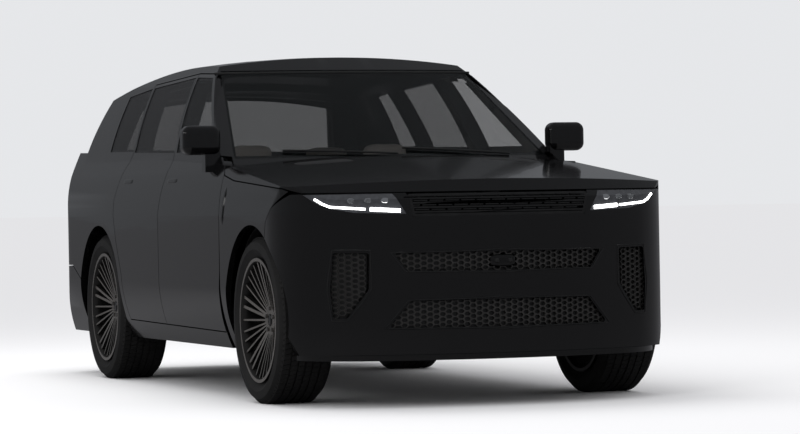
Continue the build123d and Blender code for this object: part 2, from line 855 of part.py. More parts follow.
REAR_COVER = less(
    layer(L0, L_WING, side_block(REAR_BUMPER, inner=-10.0)),
    cylinder_x(REAR_ARCH_RADIUS, 300, 1150, REAR_AXLE_Y, WHEEL_Z),
)
save(both_sides(REAR_COVER), "rear_bumper")
save(both_sides(layer(L0, L_WING, front_block(TAIL_LAMP, TAIL_Y + 60, 2000.0))), "tail_lamps")


def bars(outline, heights, thickness):
    """Level bars across a front-view outline, following the nose between two layers."""
    slabs = [
        box_between((-10, -2600, z - thickness / 2), (600, -2200, z + thickness / 2))
        for z in heights
    ]
    room = front_block(outline, -2200.0, NOSE_Y - 60, grow=-SEAT, radius=12.0)
    frame = less(room, front_block(outline, -2200.0, NOSE_Y - 60, grow=-14.0))
    return within(layer(L0, L_WING, room), union(frame, *slabs))


GRILLE_PITCH = (GRILLE[1][1] - GRILLE[0][1]) / 5
save(
    both_sides(bars(GRILLE, [GRILLE[0][1] + GRILLE_PITCH * n for n in (1, 2, 3, 4)], 9.0)),
    "front_grille",
)


def mesh_plate(outline, round_by):
    """Recessed plate behind a bumper opening."""
    room = front_block(outline, -1950.0, NOSE_Y - 60, grow=-SEAT, radius=round_by)
    return layer(L_WING, L_SKIN, room)


save(
    both_sides(union(*[mesh_plate(line, round_by) for line, round_by in MESHES])),
    "bumper_meshes",
)

# Splitter below the front bumper
with BuildPart() as splitter:
    extrude(
        plan_outline(SPLITTER_Z, -NOSE_SET, HALF - NOSE_SET - 70, (NOSE_CORNER, TAIL_CORNER)),
        amount=SILL_HEIGHT - SEAT - SPLITTER_Z,
    )
    add(box_between((-1200, -2050, 0), (1200, 2600, 400)), mode=Mode.SUBTRACT)
    add(box_between((-760, -2230, 0), (760, 2600, 400)), mode=Mode.SUBTRACT)
save(splitter.part, "front_splitter")

# Tailgate with its glass and the tail lamps beside it
TAIL_WINDOW_ROOM = front_block(TAIL_WINDOW, TAIL_Y, 1950.0, grow=GLASS_LAP + SEAT)
TAIL_FRAME_ROOM = front_block(TAILGATE, TAIL_Y + 60, TAIL_AXIS[0] - 10, grow=-FRAME_STEP)
TAIL_PANEL = less(
    union(
        less(
            layer(L0, L_SKIN, tail_block(0.0)),
            box_between((-10, 1800, 1100), (1300, 2190, 1400)),
            box_between((640, 1800, 1100), (1300, 2325, 1400)),
        ),
        layer(U0, U_PANE, tail_block(0.0)),
        within(layer(U0, U_FRAME, tail_block(0.0)), TAIL_FRAME_ROOM),
    ),
    less(TAIL_WINDOW_ROOM, U_RABBET),
    front_block(TAIL_WINDOW, TAIL_Y + 60, 1950.0),
)
save(both_sides(TAIL_PANEL), "tailgate")
save(
    both_sides(layer(U_GLASS, U_PANE, front_block(TAIL_WINDOW, TAIL_Y, 1950.0, grow=GLASS_LAP))),
    "tailgate_glass",
)

BAY_END_Y = FIREWALL_Y - FIREWALL - SEAT

# Front structure: engine bay walls, wheel house liners, cross panel and bonnet stops
with BuildPart() as front_half:
    with BuildSketch(Plane.YZ.offset(FRONT_HOUSE_X)):
        with Locations((FRONT_AXLE_Y, WHEEL_Z)):
            Circle(ARCH_RADIUS - SEAT)
            Circle(ARCH_RADIUS - HOUSE_WALL, mode=Mode.SUBTRACT)
    extrude(amount=LINER_WIDTH)
    add(box_between((0, -3000, -200), (1300, 0, 300)), mode=Mode.SUBTRACT)
    add(box_between((FRONT_HOUSE_X - 18, -2220, 300), (FRONT_HOUSE_X, BAY_END_Y, 930)))
    add(box_between((0, -2232, 300), (700, -2216, 880)))
    add(box_between((0, -2232, 290), (FRONT_HOUSE_X, BAY_END_Y, 300)))
    add(within(L_PAD, box_between((380, -2232, 870), (420, -2216, 1300))))
    add(within(L_PAD, box_between((FRONT_HOUSE_X - 18, -1200, 920), (FRONT_HOUSE_X, -1160, 1300))))
    arm_room = box_between(
        (FRONT_HOUSE_X - 30, FRONT_AXLE_Y - ARM_ROOM, 290),
        (FRONT_HOUSE_X + 1, FRONT_AXLE_Y + ARM_ROOM, 400),
    )
    add(arm_room, mode=Mode.SUBTRACT)
save(both_sides(front_half.part), "front_structure")

# Floor with a tunnel, a raised boot floor over the rear axle, and housings over the rear wheels
FLOOR_STEP_Y = REAR_AXLE_Y - 212
with BuildPart() as floor_half:
    add(box_between((0, FIREWALL_Y + 1, 262), (1000, FLOOR_STEP_Y + 20, 286)))
    add(box_between((0, FLOOR_STEP_Y, 262), (1000, FLOOR_STEP_Y + 20, BOOT_Z)))
    add(box_between((0, FLOOR_STEP_Y, BOOT_Z - 24), (1000, 2300, BOOT_Z)))
    add(
        cylinder_x(REAR_ARCH_RADIUS + HOUSE_WALL, REAR_HOUSE_X, HALF, REAR_AXLE_Y, WHEEL_Z)
    )
    add(left_half(lower_hull(LOWER_WALL + SEAT, 60.0)), mode=Mode.INTERSECT)
    add(
        cylinder_x(REAR_ARCH_RADIUS, REAR_HOUSE_X + HOUSE_WALL, 1150, REAR_AXLE_Y, WHEEL_Z),
        mode=Mode.SUBTRACT,
    )
    add(
        box_between(
            (REAR_HOUSE_X - 1, REAR_AXLE_Y - ARM_ROOM, 200),
            (REAR_HOUSE_X + HOUSE_WALL + 1, REAR_AXLE_Y + ARM_ROOM, 400),
        ),
        mode=Mode.SUBTRACT,
    )
    add(box_between((0, FIREWALL_Y + 1, 286), (130, 600, TUNNEL_Z)))
    add(box_between((0, FIREWALL_Y, 200), (110, 580, TUNNEL_Z - 20)), mode=Mode.SUBTRACT)
save(both_sides(floor_half.part), "floor_pan")


def tyre():
    """Left front tyre: flat tread, tapered shoulders and a bulging sidewall."""
    wide = TYRE_WIDTH / 2
    with BuildPart() as ring:
        with BuildSketch(Plane.XY):
            with BuildLine():
                Polyline(
                    (-wide + 34, RIM_RADIUS + SEAT),
                    (-wide, RIM_RADIUS + 50),
                    (-wide + 5, TYRE_RADIUS - 24),
                    (-wide + 32, TYRE_RADIUS),
                    (wide - 32, TYRE_RADIUS),
                    (wide - 5, TYRE_RADIUS - 24),
                    (wide, RIM_RADIUS + 50),
                    (wide - 34, RIM_RADIUS + SEAT),
                    close=True,
                )
            make_face()
        revolve(axis=Axis.X)
    return ring.part


def wheel():
    """Left wheel about its own centre: barrel, hub, twin spokes in five groups, and brake disc."""
    lip = TYRE_WIDTH / 2 - 12
    with BuildPart() as rim:
        with BuildSketch(Plane.XY):
            with BuildLine():
                Polyline(
                    (-lip, RIM_RADIUS + RIM_LIP),
                    (-lip, RIM_RADIUS - 10),
                    (-lip + 22, RIM_RADIUS - 24),
                    (lip - 34, RIM_RADIUS - 20),
                    (lip - 6, RIM_RADIUS - 12),
                    (lip, RIM_RADIUS - 8),
                    (lip, RIM_RADIUS + RIM_LIP),
                    (lip - 8, RIM_RADIUS + RIM_LIP),
                    (lip - 14, RIM_RADIUS),
                    (-lip + 14, RIM_RADIUS),
                    (-lip + 8, RIM_RADIUS + RIM_LIP),
                    close=True,
                )
            make_face()
        revolve(axis=Axis.X)
        with BuildSketch(Plane.YZ.offset(HUB_FACE)):
            Circle(82)
        extrude(amount=HUB_THICK)
        with BuildSketch(Plane.YZ.offset(HUB_FACE + 8)) as spokes:
            for group in range(SPOKE_GROUPS):
                turn = 360 / SPOKE_GROUPS * group + 90
                for lean, wide in SPOKES:
                    with Locations(Rotation(0, 0, turn + lean)):
                        with Locations((60 + SPOKE_LENGTH / 2, 0)):
                            Rectangle(SPOKE_LENGTH, wide)
        extrude(amount=lip - 10 - HUB_FACE - 8)
        with BuildSketch(Plane.XY):
            with BuildLine():
                Polyline(
                    (HUB_FACE + HUB_THICK, 0),
                    (HUB_FACE + HUB_THICK, 70),
                    (lip - 12, RIM_RADIUS - 14),
                    (lip + 30, RIM_RADIUS - 14),
                    (lip + 30, 0),
                    close=True,
                )
            make_face()
        revolve(axis=Axis.X, mode=Mode.SUBTRACT)
        with BuildSketch(Plane.XY):
            with BuildLine():
                Polyline(
                    (HUB_FACE - 90, 84),
                    (HUB_FACE - 4, 84),
                    (lip - 34, RIM_RADIUS - 40),
                    (lip - 36, RIM_RADIUS - 24),
                    (-lip, RIM_RADIUS - 24),
                    (-lip, 84),
                    close=True,
                )
            make_face()
        revolve(axis=Axis.X, mode=Mode.SUBTRACT)
    with BuildPart() as disc:
        with BuildSketch(Plane.YZ.offset(DISC_X - 17)):
            Circle(DISC_RADIUS)
            Circle(70, mode=Mode.SUBTRACT)
        extrude(amount=34)
        with BuildSketch(Plane.YZ.offset(DISC_X - 17)):
            Circle(88)
        extrude(amount=HUB_FACE - SEAT - DISC_X + 17)
    return union(rim.part, disc.part)


def caliper_knuckle():
    """Left steering knuckle about the wheel centre: upright, hub carrier, steering arm, caliper."""
    inner = KINGPIN_X - WHEEL_X
    with BuildPart() as knuckle:
        with Locations((inner - 6, 0, 20)):
            Box(30, 84, 250)
        with BuildSketch(Plane.YZ.offset(inner - 10)):
            Circle(60)
        extrude(amount=DISC_X - 17 - SEAT - inner + 10)
        with Locations((inner - 8, 75, -60)):
            Box(22, 130, 26)
        with Locations((inner + 8, -140, 40)):
            Box(16, 210, 60)
        with Locations((DISC_X, -DISC_RADIUS - 24, 40)):
            Box(84, 44, 150)
    return knuckle.part


def at_wheel(piece, axle_y):
    """A wheel piece moved to the left wheel of an axle."""
    return shifted(piece, WHEEL_X, axle_y, WHEEL_Z)


TYRE = tyre()
WHEEL = wheel()
for axle_y, axle in ((FRONT_AXLE_Y, "front"), (REAR_AXLE_Y, "rear")):
    for piece, name in ((TYRE, "tyre"), (WHEEL, "wheel")):
        placed = at_wheel(piece, axle_y)
        save(placed, f"{name}_{axle}_left")
        save(mirrored(placed), f"{name}_{axle}_right")
KNUCKLE = at_wheel(caliper_knuckle(), FRONT_AXLE_Y)
save(KNUCKLE, "knuckle_left")
save(mirrored(KNUCKLE), "knuckle_right")


def link(start, end, radius):
    """Round bar between two points."""
    path = Edge.make_line(start, end)
    with BuildPart() as bar:
        with BuildSketch(Plane(origin=start, z_dir=path % 0)):
            Circle(radius)
        extrude(amount=path.length)
    return bar.part


def suspension(axle_y, inner, outer_end, spread):
    """Left subframe rail, crossbeam and the two legs of the lower arm of one axle."""
    rail = box_between((inner - 60, axle_y - spread, 300 + SEAT), (inner, axle_y + spread, 360))
    beam = box_between((0, axle_y - 40, 304), (inner, axle_y + 40, ENGINE_BASE - SEAT))
    foot = spread - 30
    legs = [link((inner - 20, axle_y + y, 340), outer_end, 17) for y in (-foot, foot)]
    return union(rail, beam, *legs)


# Interior
def seat(x, y, wide, base=286.0 + SEAT):
    """One seat: plinth, cushion, leaning back and headrest."""
    with BuildPart() as chair:
        with Locations((x, y, base + 90)):
            Box(wide - 130, 380, 180)
        with Locations((x, y, base + 235)):
            Box(wide, 520, 130)
        with BuildSketch(Plane.YZ.offset(x - wide / 2)):
            with BuildLine():
                Polyline(
                    (y + 180, base + 200),
                    (y + 330, base + 200),
                    (y + 520, base + 840),
                    (y + 410, base + 850),
                    close=True,
                )
            make_face()
        extrude(amount=wide)
        fillet(chair.edges().filter_by(Axis.X, reverse=True).group_by(Axis.Z)[-1], 30)
        with Locations((x, y + 475, base + 935)):
            Box(240, 90, 150)
        with Locations((x, y + 470, base + 860)):
            Box(90, 30, 60)
    return chair.part


save(both_sides(seat(SEAT_X, FRONT_SEAT_Y, 500.0)), "front_seats")
save(both_sides(seat(REAR_SEAT_X, REAR_SEAT_Y, 560.0)), "rear_seats")

COLUMN_TOP = Vector(STEERING_X, -430.0, 960.0)
COLUMN_PLANE = Plane(origin=COLUMN_TOP, z_dir=(0, cos(radians(24)), sin(radians(24))))
with BuildPart() as dash:
    with BuildSketch(Plane.YZ.offset(-DASH_HALF)) as profile:
        with BuildLine():
            Polyline(
                (FIREWALL_Y + SEAT, 760.0),
                (-640.0, 700.0),
                (-560.0, 900.0),
                (-590.0, 1090.0),
                (-700.0, 1150.0),
                (-860.0, 1100.0),
                (FIREWALL_Y + SEAT, 1100.0),
                close=True,
            )
        make_face()
        fillet(profile.vertices().group_by(Axis.Y)[-3:], 30)
    extrude(amount=2 * DASH_HALF)
    add(box_between((-125, -690, TUNNEL_Z + SEAT), (125, 20, 720)))
    with BuildSketch(COLUMN_PLANE.offset(-COLUMN_LENGTH - 1)):
        Circle(COLUMN_RADIUS + SEAT)
    extrude(amount=COLUMN_LENGTH, mode=Mode.SUBTRACT)
save(dash.part, "dashboard")

with BuildPart() as steering:
    with BuildSketch(COLUMN_PLANE * Plane.XZ) as rim_section:
        with Locations((WHEEL_GRIP, 0)):
            Circle(15)
    revolve(axis=Axis(COLUMN_TOP, COLUMN_PLANE.z_dir))
    with BuildSketch(COLUMN_PLANE.offset(-20)):
        Circle(75)
    extrude(amount=34)
    with BuildSketch(COLUMN_PLANE.offset(-10)):
        Rectangle(2 * WHEEL_GRIP, 40)
    extrude(amount=16)
    with BuildSketch(COLUMN_PLANE.offset(-COLUMN_LENGTH)):
        Circle(COLUMN_RADIUS)
    extrude(amount=COLUMN_LENGTH)
save(steering.part, "steering_wheel")

# Engine with its gearbox, one plain mass
with BuildPart() as engine:
    add(box_between((-290, -2110, ENGINE_BASE), (290, -1410, 870)))
    add(box_between((-160, -1440, ENGINE_BASE), (160, -1045, 640)))
save(engine.part, "engine_block")

# Door mirrors
MIRROR_FOOT = less(
    box_between((905, -775, 1140), (985, -715, 1262)),
    left_half(lower_hull(-SEAT)),
    left_half(upper_hull(-SEAT)),
)
with BuildPart() as mirror_body:
    with Locations((MIRROR_X, MIRROR_Y, MIRROR_Z)):
        Box(MIRROR_WIDE, 120, 150)
    fillet(mirror_body.edges(), 42)
    add(MIRROR_FOOT)
save(mirror_body.part, "mirror_left")
save(mirrored(mirror_body.part), "mirror_right")

# Running gear
BALL_Z = 268.0
front_gear = union(
    suspension(FRONT_AXLE_Y, FRONT_HOUSE_X - 130, (KINGPIN_X, FRONT_AXLE_Y, BALL_Z), 150.0),
    box_between((530, FRONT_AXLE_Y - 76, 286), (592, FRONT_AXLE_Y + 76, 316)),
    within(
        box_between((530, FRONT_AXLE_Y - 31, 300), (592, FRONT_AXLE_Y + 31, 900)),
        cylinder_x(ARCH_RADIUS - HOUSE_WALL - SEAT, 500, 700, FRONT_AXLE_Y, WHEEL_Z),
    ),
    box_between(
        (KINGPIN_X - 12, FRONT_AXLE_Y - 12, BALL_Z),
        (KINGPIN_X + 12, FRONT_AXLE_Y + 12, WHEEL_Z - 105 - SEAT),
    ),
)
post = (REAR_HOUSE_X - 250, REAR_AXLE_Y - 118, 350.0)
rear_gear = union(
    suspension(REAR_AXLE_Y, REAR_HOUSE_X - 190, (KINGPIN_X - 12, REAR_AXLE_Y, 320.0), 120.0),
    at_wheel(caliper_knuckle(), REAR_AXLE_Y),
    box_between(post, (post[0] + 40, post[1] + 40, BOOT_Z - 24 - SEAT)),
    box_between((600, REAR_AXLE_Y - 70, 300), (660, REAR_AXLE_Y + 70, 345)),
    box_between((600, REAR_AXLE_Y - 30, 330), (660, REAR_AXLE_Y + 30, BOOT_Z - 24 - SEAT)),
)
save(both_sides(front_gear), "front_suspension")
save(both_sides(rear_gear), "rear_suspension")

# Exhaust: silencer hung under the boot floor, its pipe and two tail pipes
with BuildPart() as exhaust:
    add(cylinder_x(85.0, -340, 340, 1860, 440))
    add(link((0, 1860, 440), (0, 1500, 420), 32))
    for x in (-300, 300):
        add(link((x, 1860, 420), (x, 2290, 330), 30))
        add(box_between((x - 12, 1848, 500), (x + 12, 1872, BOOT_Z - 24 - SEAT)))
save(exhaust.part, "exhaust")
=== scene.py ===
"""Dresses the sport utility vehicle: paint, glass, wheels, lamps, meshes, cabin and studio."""
import json
from math import cos, pi, radians, sin

import bmesh
import bpy
from mathutils import Matrix, Vector
from mathutils.bvhtree import BVHTree


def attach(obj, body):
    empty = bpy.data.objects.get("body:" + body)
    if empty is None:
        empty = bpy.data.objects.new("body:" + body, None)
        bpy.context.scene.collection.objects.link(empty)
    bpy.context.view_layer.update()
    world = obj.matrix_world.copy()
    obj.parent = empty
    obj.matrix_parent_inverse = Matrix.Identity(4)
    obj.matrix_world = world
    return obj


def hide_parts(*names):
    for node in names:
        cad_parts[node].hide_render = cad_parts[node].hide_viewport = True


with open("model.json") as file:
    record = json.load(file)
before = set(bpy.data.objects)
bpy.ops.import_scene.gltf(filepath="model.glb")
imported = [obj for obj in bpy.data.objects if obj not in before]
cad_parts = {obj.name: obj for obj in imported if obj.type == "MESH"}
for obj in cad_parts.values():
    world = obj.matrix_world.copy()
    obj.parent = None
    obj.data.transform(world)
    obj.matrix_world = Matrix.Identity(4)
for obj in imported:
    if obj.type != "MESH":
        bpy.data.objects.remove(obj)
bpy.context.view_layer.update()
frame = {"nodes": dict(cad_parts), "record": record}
NODES = frame["nodes"]
RECORD = frame["record"]
BODY_OF = {
    node: body for body, group in RECORD["behaviour"]["bodies"].items() for node in group
}
SLOT_OF = {part["node"]: part["material_slot"] for part in RECORD["subparts"]}
SIDES = (("left", 1), ("right", -1))


# Materials
# Places of the two colours and of the result among the sockets of a Mix node
MIX_FIRST, MIX_SECOND, MIX_RESULT = 6, 7, 2
GRAIN_DETAIL, GRAIN_STEP = 6.0, 0.002
PANE_SECOND_TONE = 0.8


def new_group(name, inputs, outputs):
    """Empty shader group with named sockets, given as name to type and default."""
    group = bpy.data.node_groups.new(name, "ShaderNodeTree")
    for socket, (kind, value) in inputs.items():
        made = group.interface.new_socket(socket, in_out="INPUT", socket_type=kind)
        made.default_value = value
    for socket, kind in outputs.items():
        group.interface.new_socket(socket, in_out="OUTPUT", socket_type=kind)
    return group, group.nodes.new("NodeGroupInput"), group.nodes.new("NodeGroupOutput")


def colour_mix(tree, share, first, second):
    """Result of a mix whose two ends are each a colour or the output of another node."""
    mix = tree.nodes.new("ShaderNodeMix")
    mix.data_type = "RGBA"
    tree.links.new(share, mix.inputs["Factor"])
    for place_in_node, colour in ((MIX_FIRST, first), (MIX_SECOND, second)):
        if isinstance(colour, tuple):
            mix.inputs[place_in_node].default_value = (*colour, 1.0)
        else:
            tree.links.new(colour, mix.inputs[place_in_node])
    return mix.outputs[MIX_RESULT]


def grain_group():
    """Fine surface relief and a mask that goes with it, read from object coordinates."""
    group, start, end = new_group(
        "Grain",
        {"Scale": ("NodeSocketFloat", 200.0), "Depth": ("NodeSocketFloat", 0.1)},
        {"Mask": "NodeSocketFloat", "Normal": "NodeSocketVector"},
    )
    where = group.nodes.new("ShaderNodeTexCoord")
    noise = group.nodes.new("ShaderNodeTexNoise")
    noise.inputs["Detail"].default_value = GRAIN_DETAIL
    bump = group.nodes.new("ShaderNodeBump")
    bump.inputs["Distance"].default_value = GRAIN_STEP
    link = group.links.new
    link(where.outputs["Object"], noise.inputs["Vector"])
    link(start.outputs["Scale"], noise.inputs["Scale"])
    link(start.outputs["Depth"], bump.inputs["Strength"])
    link(noise.outputs["Fac"], bump.inputs["Height"])
    link(noise.outputs["Fac"], end.inputs["Mask"])
    link(bump.outputs["Normal"], end.inputs["Normal"])
    return group


def tone_group():
    """Colour that wanders a little between two tones over a surface."""
    group, start, end = new_group(
        "Tone",
        {
            "Scale": ("NodeSocketFloat", 3.0),
            "Dark": ("NodeSocketColor", (0.0, 0.0, 0.0, 1.0)),
            "Light": ("NodeSocketColor", (1.0, 1.0, 1.0, 1.0)),
        },
        {"Colour": "NodeSocketColor"},
    )
    where = group.nodes.new("ShaderNodeTexCoord")
    noise = group.nodes.new("ShaderNodeTexNoise")
    link = group.links.new
    link(where.outputs["Object"], noise.inputs["Vector"])
    link(start.outputs["Scale"], noise.inputs["Scale"])
    tone = colour_mix(group, noise.outputs["Fac"], start.outputs["Dark"], start.outputs["Light"])
    link(tone, end.inputs["Colour"])
    return group


GRAIN = grain_group()
TONE = tone_group()


def finish(name, dark, light=None, tone_scale=3.0, grain=None, rough_range=None, **values):
    """Material with a wandering tone, fine grain and plain shader values by socket name."""
    material = bpy.data.materials.new(name)
    material.use_nodes = True
    nodes, link = material.node_tree.nodes, material.node_tree.links.new
    shader = nodes["Principled BSDF"]
    for socket, value in values.items():
        shader.inputs[socket.replace("_", " ")].default_value = value
    tone = nodes.new("ShaderNodeGroup")
    tone.node_tree = TONE
    tone.inputs["Scale"].default_value = tone_scale
    tone.inputs["Dark"].default_value = (*dark, 1.0)
    tone.inputs["Light"].default_value = (*(light or dark), 1.0)
    link(tone.outputs["Colour"], shader.inputs["Base Color"])
    if grain:
        relief = nodes.new("ShaderNodeGroup")
        relief.node_tree = GRAIN
        relief.inputs["Scale"].default_value, relief.inputs["Depth"].default_value = grain
        link(relief.outputs["Normal"], shader.inputs["Normal"])
        spread = nodes.new("ShaderNodeMapRange")
        spread.inputs["To Min"].default_value, spread.inputs["To Max"].default_value = rough_range
        link(relief.outputs["Mask"], spread.inputs["Value"])
        link(spread.outputs["Result"], shader.inputs["Roughness"])
    return material


def pane_material(name, tint, cover):
    """Tinted pane: each of its two faces covers a share of what lies behind."""
    second = tuple(PANE_SECOND_TONE * value for value in tint)
    return finish(name, tint, second, tone_scale=1.5, Roughness=0.02, Alpha=cover)


def glow(name, colour, strength):
    """Lit light guide."""
    return finish(
        name, colour, Roughness=0.3, Emission_Color=(*colour, 1.0), Emission_Strength=strength
    )


PAINT = finish(
    "black_paint", (0.0012, 0.0012, 0.0014), (0.0030, 0.0029, 0.0030), tone_scale=900.0,
    Roughness=0.12, Coat_Weight=0.35, Coat_Roughness=0.02,
)
GLOSS_BLACK = finish(
    "gloss_black_trim", (0.0012, 0.0012, 0.0012), (0.0025, 0.0025, 0.0025), tone_scale=30.0,
    Roughness=0.10, Coat_Weight=0.2, Coat_Roughness=0.03,
)
SATIN_BLACK = finish(
    "satin_black_plastic", (0.010, 0.010, 0.010), (0.018, 0.018, 0.018), tone_scale=12.0,
    grain=(900.0, 0.12), rough_range=(0.42, 0.6),
)
MESH_METAL = finish(
    "dark_mesh_metal", (0.07, 0.068, 0.066), (0.12, 0.115, 0.11), tone_scale=40.0,
    grain=(600.0, 0.05), rough_range=(0.25, 0.4), Metallic=0.8,
)
GRILLE_METAL = finish(
    "dark_chrome", (0.04, 0.04, 0.04), (0.07, 0.07, 0.07), tone_scale=20.0,
    grain=(500.0, 0.03), rough_range=(0.18, 0.3), Metallic=0.9,
)
UNDERSEAL = finish(
    "black_underseal", (0.006, 0.006, 0.006), (0.015, 0.014, 0.013), tone_scale=8.0,
    grain=(260.0, 0.35), rough_range=(0.7, 0.9),
)
RUBBER = finish(
    "tyre_rubber", (0.010, 0.010, 0.010), (0.020, 0.019, 0.018), tone_scale=14.0,
    grain=(420.0, 0.25), rough_range=(0.62, 0.82),
)
ALLOY = finish(
    "dark_wheel_alloy", (0.035, 0.034, 0.033), (0.055, 0.053, 0.05), tone_scale=16.0,
    grain=(700.0, 0.03), rough_range=(0.28, 0.4), Metallic=0.75,
)
MACHINED = finish(
    "machined_wheel_face", (0.36, 0.34, 0.31), (0.48, 0.45, 0.42), tone_scale=26.0,
    grain=(1500.0, 0.04), rough_range=(0.22, 0.34), Metallic=0.95,
)
STEEL = finish(
    "turned_steel", (0.28, 0.27, 0.26), (0.4, 0.39, 0.38), tone_scale=24.0,
    grain=(1200.0, 0.06), rough_range=(0.3, 0.45), Metallic=1.0,
)
CAST = finish(
    "cast_iron", (0.05, 0.048, 0.045), (0.09, 0.085, 0.08), tone_scale=15.0,
    grain=(300.0, 0.3), rough_range=(0.55, 0.75), Metallic=0.6,
)
HIDE = finish(
    "pale_hide", (0.40, 0.37, 0.33), (0.50, 0.47, 0.43), tone_scale=9.0,
    grain=(340.0, 0.25), rough_range=(0.45, 0.6), Sheen_Weight=0.15,
)
DASH_SKIN = finish(
    "soft_dash_skin", (0.02, 0.019, 0.018), (0.035, 0.033, 0.03), tone_scale=9.0,
    grain=(420.0, 0.3), rough_range=(0.55, 0.7),
)
MIRROR_GLASS = finish(
    "mirror_silver", (0.7, 0.72, 0.74), (0.74, 0.75, 0.76), tone_scale=2.0,
    Metallic=1.0, Roughness=0.03,
)
LAMP_FACE = finish(
    "smoked_lamp_face", (0.03, 0.031, 0.034), (0.07, 0.073, 0.08), tone_scale=45.0,
    Roughness=0.14, Coat_Weight=0.8, Coat_Roughness=0.02,
)
TAIL_RED = finish(
    "tail_lamp_red", (0.10, 0.004, 0.004), (0.16, 0.006, 0.006), tone_scale=30.0,
    Roughness=0.12, Coat_Weight=1.0, Coat_Roughness=0.03,
)
GLASS = pane_material("tinted_glass", (0.004, 0.005, 0.005), 0.36)
PRIVACY = pane_material("privacy_glass", (0.003, 0.003, 0.003), 0.55)
LENS = pane_material("lamp_lens", (0.20, 0.21, 0.22), 0.55)
DAYLIGHT = glow("daylight_guide", (1.0, 1.0, 1.0), 5.0)


# Pieces
WELD, AXIS_WELD, CREASE = 3e-5, 1e-6, 24.0
ROD_ROUNDNESS = 3


def in_scene(piece):
    """Links a loose object to the scene."""
    bpy.context.scene.collection.objects.link(piece)
    return piece


def place(piece, body, slot, material=None):
    """Adds a finished piece to the scene, on a body; the material slot of the record that it is
    given is not used.
    """
    if piece.name not in bpy.context.scene.collection.objects:
        in_scene(piece)
    if material:
        piece.data.materials.clear()
        piece.data.materials.append(material)
    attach(piece, body)
    return piece


def mesh_piece(name, verts, faces):
    """Mesh object from points and faces."""
    mesh = bpy.data.meshes.new(name)
    mesh.from_pydata(verts, [], faces)
    return bpy.data.objects.new(name, mesh)


def from_bmesh(name, bm, smooth=False):
    """Mesh object from a bmesh, which is freed."""
    bmesh.ops.recalc_face_normals(bm, faces=bm.faces)
    for face in bm.faces:
        face.smooth = smooth
    mesh = bpy.data.meshes.new(name)
    bm.to_mesh(mesh)
    bm.free()
    return bpy.data.objects.new(name, mesh)


def skin(node, material, crease=CREASE, accent=None):
    """Smooth welded piece that stands for a CAD node.

    An accent is a second material and the test, by centre and normal, of the faces that get it.
    """
    source = NODES[node].data
    mesh = bpy.data.meshes.new(node + "_skin")
    faces = [tuple(face.vertices) for face in source.polygons]
    mesh.from_pydata([vert.co[:] for vert in source.vertices], [], faces)
    mesh.materials.append(material)
    bm = bmesh.new()
    bm.from_mesh(mesh)
    bmesh.ops.remove_doubles(bm, verts=bm.verts, dist=WELD)
    for face in bm.faces:
        face.smooth = True
    for edge in bm.edges:
        flat_enough = edge.calc_face_angle(0.0) < radians(crease)
        edge.smooth = len(edge.link_faces) == 2 and flat_enough
    if accent:
        second, belongs = accent
        mesh.materials.append(second)
        for face in bm.faces:
            face.material_index = int(belongs(face.calc_center_median(), face.normal))
    bm.to_mesh(mesh)
    bm.free()
    piece = in_scene(bpy.data.objects.new(node + "_skin", mesh))
    piece.modifiers.new("even_normals", "WEIGHTED_NORMAL").keep_sharp = True
    place(piece, BODY_OF[node], SLOT_OF[node])
    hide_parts(node)
    return piece


def dress(node, material):
    """Better material for a CAD node that stays."""
    for socket in NODES[node].material_slots:
        socket.material = material


def rod(name, points, radius):
    """Smooth round bar along points, turned into a mesh."""
    curve = bpy.data.curves.new(name, "CURVE")
    curve.dimensions = "3D"
    curve.bevel_depth = radius
    curve.bevel_resolution = ROD_ROUNDNESS
    curve.use_fill_caps = True
    spline = curve.splines.new("POLY")
    spline.points.add(len(points) - 1)
    for target, point in zip(spline.points, points):
        target.co = (*point, 1.0)
    source = in_scene(bpy.data.objects.new(name, curve))
    depsgraph = bpy.context.evaluated_depsgraph_get()
    mesh = bpy.data.meshes.new_from_object(source.evaluated_get(depsgraph))
    bpy.data.objects.remove(source)
    for face in mesh.polygons:
        face.use_smooth = True
    return bpy.data.objects.new(name, mesh)


def rounded_box(name, half, bevel, segments=2, middle=(0.0, 0.0, 0.0)):
    """Box with rounded edges, from half its sizes and its middle."""
    bm = bmesh.new()
    bmesh.ops.create_cube(bm, size=2.0)
    bmesh.ops.scale(bm, vec=half, verts=bm.verts)
    bmesh.ops.bevel(bm, geom=bm.edges[:], offset=bevel, segments=segments, affect="EDGES")
    bmesh.ops.translate(bm, vec=middle, verts=bm.verts)
    return from_bmesh(name, bm)


def joined(name, pieces):
    """One mesh object from several loose ones."""
    bm = bmesh.new()
    for piece in pieces:
        bm.from_mesh(piece.data)
        bpy.data.objects.remove(piece)
    mesh = bpy.data.meshes.new(name)
    bm.to_mesh(mesh)
    bm.free()
    return bpy.data.objects.new(name, mesh)


def bridge(bm, one, two):
    """Band of faces between two closed rows of points."""
    for k in range(len(one)):
        j = (k + 1) % len(one)
        bm.faces.new((one[k], one[j], two[j], two[k]))


def turned(profile, steps):
    """Form turned round the X axis, from places along it and radii, welded at the axis."""
    bm = bmesh.new()
    turns = [2 * pi * k / steps for k in range(steps)]
    rings = []
    for x, radius in profile:
        rings.append(
            [bm.verts.new((x, radius * cos(turn), radius * sin(turn))) for turn in turns]
        )
    for one, two in zip(rings, rings[1:]):
        bridge(bm, one, two)
    bmesh.ops.remove_doubles(bm, verts=bm.verts, dist=AXIS_WELD)
    return bm


# Places on the CAD surfaces, found by rays that start well outside
RAY_FRONT, RAY_SIDE, RAY_TOP = 4.0, 3.0, 3.0
TREES = {}


def tree_of(nodes):
    """Search tree over the faces of some CAD nodes, made once."""
    if nodes not in TREES:
        verts, faces = [], []
        for node in nodes:
            mesh = NODES[node].data
            first = len(verts)
            verts += [vert.co.copy() for vert in mesh.vertices]
            faces += [[first + i for i in face.vertices] for face in mesh.polygons]
        TREES[nodes] = BVHTree.FromPolygons(verts, faces)
    return TREES[nodes]


